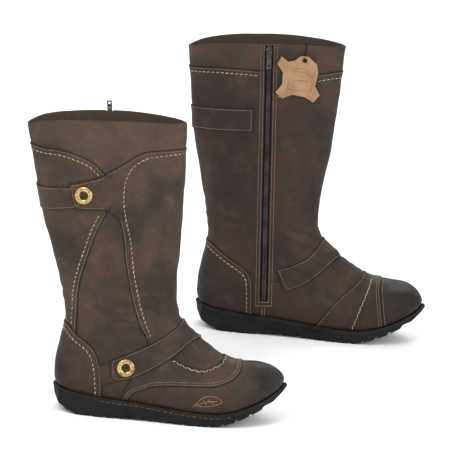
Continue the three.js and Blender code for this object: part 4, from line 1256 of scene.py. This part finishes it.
OUTER_BOLD = [[175, 334], [155.3, 330.4], [110.5, 325.8], [94.6, 319.3], [84.2, 309.2], [77.8, 294.2],
              [76.1, 279.3], [76.5, 266], [79.1, 247.6], [83.5, 229.2], [86.5, 213.4], [89.3, 187],
              [92.8, 167],
              [99.5, 138], [107.5, 116], [114.5, 101]]
INNER_BOLD = [[214, 74], [208, 57], [203, 45], [193, 15.5]]
FINE, BOLD, ZIGZAG = (2.9, 1.15, 0.46), (5.9, 4.2, 0.46), (4.2, 3.7, 0.46)


def stitch_all(upper, strap_rows):
    """Every stitch row of one boot: a fine row beside each seam, a bold one further in."""
    shape, side = upper.shape, upper.side
    fine, bold = Bits(5), Bits(6)
    foot, up, _, across, length = zip_axis(shape)
    w = SLOT / 2

    def clear(p):
        x, y = (p - foot) @ across, (p - foot) @ up
        return p[1] < 0 or abs(x) > w + 7.2 or y < -9

    def put(kind, line, face, zigzag=0.0):
        bits = fine if kind == "fine" else bold
        size = FINE if kind == "fine" else ZIGZAG if zigzag else BOLD
        for run in shape.trace(line, face, 0.9):
            bits.row(upper, run, *size, zigzag=zigzag, tilt=0.45 if size is BOLD else 0, clear=clear)

    outer = {k: seam_line(v) for k, v in OUTER.items()}
    inner = {k: seam_line(v) for k, v in INNER.items()}
    put("fine", aside(outer["band_back"], 2.2), -1)
    put("bold", aside(outer["band_back"], 7), -1)
    put("fine", aside(outer["band_front"], 2.2), -1)
    put("bold", curve2(OUTER_BOLD), -1)
    put("fine", aside(inner["band_back"], 2.2), 1)
    put("bold", aside(inner["band_back"], 6.5), 1)
    put("fine", aside(inner["band_front"], 2.2), 1)
    put("bold", aside(inner["band_front"], 8.5), 1)
    put("fine", aside(below(outer["gusset_front"], 96, 246), -2), -1)
    put("fine", aside(below(outer["gusset_back"], 104, 253), 2), -1)
    put("bold", aside(below(outer["gusset_back"], 104, 250), 6.8), -1)
    for seam, face in ((outer["counter"], -1), (inner["counter"], 1)):
        put("fine", aside(below(seam, 20, 200), 2), face)
        put("bold", aside(below(seam, 20, 200), 8 if face < 0 else 7), face)
    apron = outer["apron"][outer["apron"][:, 0] > 142]
    put("bold", aside(apron, 2.6), -1, 1.0)
    put("fine", aside(below(inner["apron"], 16, 200), 2), 1)
    put("bold", curve2(INNER_BOLD), 1, 0.7)
    for d in (-2, -4.8):
        put("fine", aside(below(outer["toe"], 24, 200), d), -1)
    for d in (-2, -5, 2.5):
        put("fine", aside(below(inner["toe"], 22, 200), d), 1)
    for s in (-1, 1):
        for d in (1.9, 5.4):
            fine.row(upper, zip_line(shape, s * (w + d), -7 if d > 3 else -2.5, length - 1.5, 400), *FINE)
    for y in (-2.5, -7):
        fine.row(upper, zip_cross(shape, y, w + (5.4 if y < -5 else 1.9)), 1.9, 1.6, 0.36)
    for s in (-1, 1):
        fine.row(upper, zip_line(shape, s * 1.6, -24, -8.5, 60), *FINE)
    for line in strap_rows:
        fine.row(upper, line, *FINE)
    for bits, thread, name in ((fine, fine_thread, "fine_stitches"), (bold, bold_thread, "bold_stitches")):
        bits.object(f"{side}_{name}", side, "boots", thread, "leather")


def zip_cross(shape, y, half):
    """A short line across the zip's foot."""
    foot, up, _, across, _ = zip_axis(shape)
    x = np.linspace(-half, half, 20)[:, None]
    return laid(shape, foot + up * y + across * x)


def zip_teeth(upper):
    """The two coils' turns, lying across the closed zip."""
    foot, up, out, across, length = zip_axis(upper.shape)
    for s, which in ((-1, "front"), (1, "rear")):
        bits = Bits(6)
        y = -6.0
        while y < length - 4:
            for level, radius, shift in ((-1.0, 0.5, 0.0), (-1.9, 0.42, 0.7)):
                x = np.array([0.25, 0.6, 1.3, 2.1, 2.5]) * s
                lift = level + np.array([-0.25, 0.05, 0.1, 0.0, -0.4])
                path = foot + np.outer(x, across) + np.outer(lift, out) + up * (y + shift + 0.7 * (s > 0))
                bits.tube(path, radius * np.array([0.75, 1.1, 1, 0.9, 0.7]), np.tile(out, (5, 1)))
            y += 1.4
        bits.object(f"{upper.side}_coil_{which}", upper.side, "boots", coil_nylon, "coil",
                    (f"{upper.side}_zip_coil_{which}",))


# the pull's blade: its middle above the zip, half its thickness, and the bars' places along it
PULL_MIDDLE, PULL_HALF = 3.55, 0.65
BARS = 0.3, 0.4, 0.5, 0.6


def pull_ridges(shape, side, finish):
    """Raised bars across both faces of the zip's pull."""
    foot, up, out, across, _ = zip_axis(shape)
    low, high = (to_local(corner, side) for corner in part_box(f"{side}_zip_pull"))
    span = np.sort([(low - foot) @ up, (high - foot) @ up])
    bits = Bits(8)
    x = np.array([-2.3, -2.0, 0, 2.0, 2.3])
    crown = np.array([-0.3, 0, 0.06, 0, -0.3])
    for facing in (1, -1):
        level = PULL_MIDDLE + facing * (PULL_HALF + crown)
        for share in BARS:
            y = span[0] + (span[1] - span[0]) * (share if side == "right" else 1 - share)
            path = foot + np.outer(x, across) + np.outer(level, out) + up * y
            bits.tube(path, [0.2, 0.4, 0.45, 0.4, 0.2], np.tile(out * facing, (5, 1)))
    bits.object(f"{side}_pull_ridges", side, f"{side}_pull", finish, "gunmetal")


TIP_DROP, TIP_DRAW = 2.2, 1.5
TIP_RUN = 26
LIP_WIDTH, LIP_HEIGHT = 3.2, 4.0


def ease_tips(welt, side):
    """Rounds the welt's outer top edge down at the toe and the heel."""
    mesh = welt.data
    points = np.array([to_local(v.co, side) for v in mesh.vertices])
    toe, heel = points[:, 0].max(), points[:, 0].min()
    near = np.maximum(points[:, 0] - (toe - TIP_RUN), heel + TIP_RUN - points[:, 0]) / TIP_RUN
    near = np.clip(near, 0, 1)
    near = near * near * (3 - 2 * near)
    across = np.clip(points[:, 0], heel + 2 * TIP_RUN, toe - 2 * TIP_RUN)
    away = points[:, :2] - np.stack([across, np.zeros(len(points))], 1)
    reach = np.linalg.norm(away, axis=1)
    angle = np.round(np.arctan2(away[:, 1], away[:, 0]) / math.radians(3)).astype(int)
    widest = {k: reach[angle == k].max() for k in np.unique(angle)}
    outer = np.array([reach[i] > widest[angle[i]] - LIP_WIDTH for i in range(len(points))])
    rim = np.array([rim_height(x) for x in points[:, 0]])
    high = np.clip((points[:, 2] - rim + LIP_HEIGHT) / LIP_HEIGHT, 0, 1)
    share = near * outer * high
    inward = -away / np.maximum(reach, 1)[:, None] * [1, -1 if side == "left" else 1]
    for v, part, (x, y) in zip(mesh.vertices, share, inward):
        v.co += Vector((x * TIP_DRAW, y * TIP_DRAW, -TIP_DROP)) * (part * MM)


SOLE_ROW, SOLE_PITCH, SOLE_ROW_DROP = (58, 216), 7, 4.4


def sole_stitches(side):
    """A spaced row of thick stitches in the rim, along the outer side of the forepart."""
    bits = Bits(7)
    trees = sole_surface(side)
    for x in np.arange(*SOLE_ROW, SOLE_PITCH):
        z = rim_height(x) - SOLE_ROW_DROP
        ends = []
        for dx in (0, 0.9, 2.5, 4.1, 5.0):
            hits = [tree.ray_cast((x + dx, -90, z), (0, 1, 0))[0] for tree in trees]
            hits = [h for h in hits if h is not None]
            ends.append(min(hits, key=lambda h: h[1]) if hits else None)
        if all(e is not None for e in ends):
            path = np.array([tuple(e) for e in ends])
            path[:, 1] += [0.4, -0.1, -0.2, -0.1, 0.4]
            bits.tube(path, [0.3, 0.45, 0.5, 0.45, 0.3], np.tile([0.0, -1.0, 0.0], (5, 1)))
    bits.object(f"{side}_sole_stitches", side, "boots", sole_thread, "leather")


def edge_row(shape, loops, wrap=False):
    """A stitch row inside a strap's edge."""
    uv = loop_chart(shape, loops, wrap)
    row = uv + inward(uv) * STRAP_INSET
    far = np.array([np.min(np.linalg.norm(uv - r, axis=1)) for r in row]) > STRAP_INSET * 0.9
    row = row[far & in_loop(row, uv)]
    t, phi = shape.unchart(np.vstack([row, row[:1]]))
    return np.stack([t, phi], 1)


def make_boot(side, lean):
    shape = Shape(lean)
    leather = LEATHERS[side]
    upper = Upper(shape, side, leather)
    base = [open_run(shape, STRAP_BASE, -1)]
    upper.patch("strap_base_leather", base, 0.0, 0.75, leather, ("strap_base",))
    back = round_loop(shape, *BACK_STRAP)
    upper.patch("back_strap_leather", back, 0.1, 1.25, leather, ("back_strap",), wrap=True)
    tab = [open_run(shape, UPPER_TAB, -1)]
    upper.patch("upper_tab_leather", tab, 1.3, 1.2, leather, sunk=TAB_SUNK)
    instep = round_loop(shape, *INSTEP_STRAP)
    upper.patch("instep_strap_leather", instep, 0.5, 1.2, leather, ("instep_strap",))
    tab_row = edge_row(shape, tab)
    ends = shape.skin(tab_row[:, 0], tab_row[:, 1])
    ends = np.nonzero(ends[:, 0] - shape.leaned(ends[:, 2]) > 54)[0]
    gap = ends[len(ends) // 2]
    tab_row = np.vstack([tab_row[gap:-1], tab_row[:gap]])[len(ends) // 2:-(len(ends) // 2)]
    back_row = edge_row(shape, back, wrap=True)
    rows = [back_row, tab_row, edge_row(shape, instep)]
    stitch_all(upper, rows)
    if side == "right":
        leaf(upper)
    make_lining(upper)
    for at, name in zip(SNAPS, ("upper", "lower")):
        snap(upper, at, name)
    zip_teeth(upper)
    sole_stitches(side)
    for node, finish, slot, bevel in (
            ("outsole", rubber, "rubber", 0.5), ("welt", welt_rubber, "welt", 1.2),
            ("insole_board", board, "board", 0.2), ("heel_stiffener", board, "board", 0.0),
            ("toe_puff", board, "board", 0.0), ("footbed", felt, "footbed", 0.8),
            ("shank", steel, "steel", 0.2),
            ("zip_tape_front", tape_cloth, "tape", 0.0), ("zip_tape_rear", tape_cloth, "tape", 0.0)):
        ob = carried(f"{side}_{node}", finish, slot, bevel)
        if node == "welt":
            ease_tips(ob, side)
    carried(f"{side}_zip_slider", gunmetal, "gunmetal", 0.2, f"{side}_slider")
    pull_finish = nickel if side == "right" else gunmetal
    pull_ridges(shape, side, pull_finish)
    carried(f"{side}_zip_pull", pull_finish, "gunmetal", 0.25, f"{side}_pull")


for side, lean in (("right", -11.5), ("left", 11.5)):
    make_boot(side, lean)
carried("hang_tag", card, "card", 0.2, "tag")


def tag_stamp():
    """A generic printed frame with a leaf in it, on the tag's face."""
    v = np.array([to_local(x.co, "left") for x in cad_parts["hang_tag"].data.vertices])
    face = ((v - TAG_HOLE) @ TAG_AXES[2]).max()
    angle = np.linspace(0, TURN, 60)
    box = np.stack([2 + 15 * np.sign(np.cos(angle)) * np.abs(np.cos(angle)) ** 0.35,
                    -33 + 6.5 * np.sign(np.sin(angle)) * np.abs(np.sin(angle)) ** 0.35], 1)
    leaf_line = curve2([[-9, -19], [-3, -13], [6, -11.5], [14, -15], [6, -20.5], [-2, -21.5], [-9, -19]])
    rib = curve2([[-13, -21], [-4, -17.5], [4, -16.2], [11, -15.6]])
    bits = Bits(4)
    for line in (box, leaf_line, rib):
        path = tag_points(np.column_stack([line, np.full(len(line), face - 0.35)]))
        bits.tube(path, np.full(len(path), 0.55), np.tile(TAG_AXES[2], (len(path), 1)))
    bits.object("tag_stamp", "left", "tag", print_ink, "card")


tag_stamp()


# ------------------------------------------------------------------ floor and light
def floor():
    """A plain pale floor just under the soles."""
    verts = [(x * 30, y * 30, float(cad_low[2]) - 0.0004) for x, y in ((-1, -1), (1, -1), (1, 1), (-1, 1))]
    me = bpy.data.meshes.new("floor")
    me.from_pydata(verts, [], [(0, 1, 2, 3)])
    ob = bpy.data.objects.new("floor", me)
    bpy.context.scene.collection.objects.link(ob)
    f = Finish("pale_floor", 0.9, specular=0.1)
    me.materials.append(f.done(f.mix(f.noise(3, 2), "f6f6f6", "fafafa")))


def area_light(name, where, size, watts):
    data = bpy.data.lights.new(name, "AREA")
    data.shape, data.size, data.energy = "DISK", size, watts
    ob = bpy.data.objects.new(name, data)
    ob.location = where
    ob.rotation_euler = (Vector((0, 0, 0.15)) - Vector(where)).to_track_quat("-Z", "Y").to_euler()
    bpy.context.scene.collection.objects.link(ob)


floor()
area_light("key", (-0.9, -1.6, 1.9), 1.3, 34)
area_light("fill", (1.5, -1.3, 1.0), 1.6, 16)
area_light("back", (0.3, 1.6, 1.8), 1.4, 22)
world = bpy.data.worlds.new("studio")
world.use_nodes = True
world.node_tree.nodes["Background"].inputs["Color"].default_value = (1, 1, 1, 1)
world.node_tree.nodes["Background"].inputs["Strength"].default_value = 0.9
bpy.context.scene.world = world
bpy.context.scene.view_settings.view_transform = "Standard"
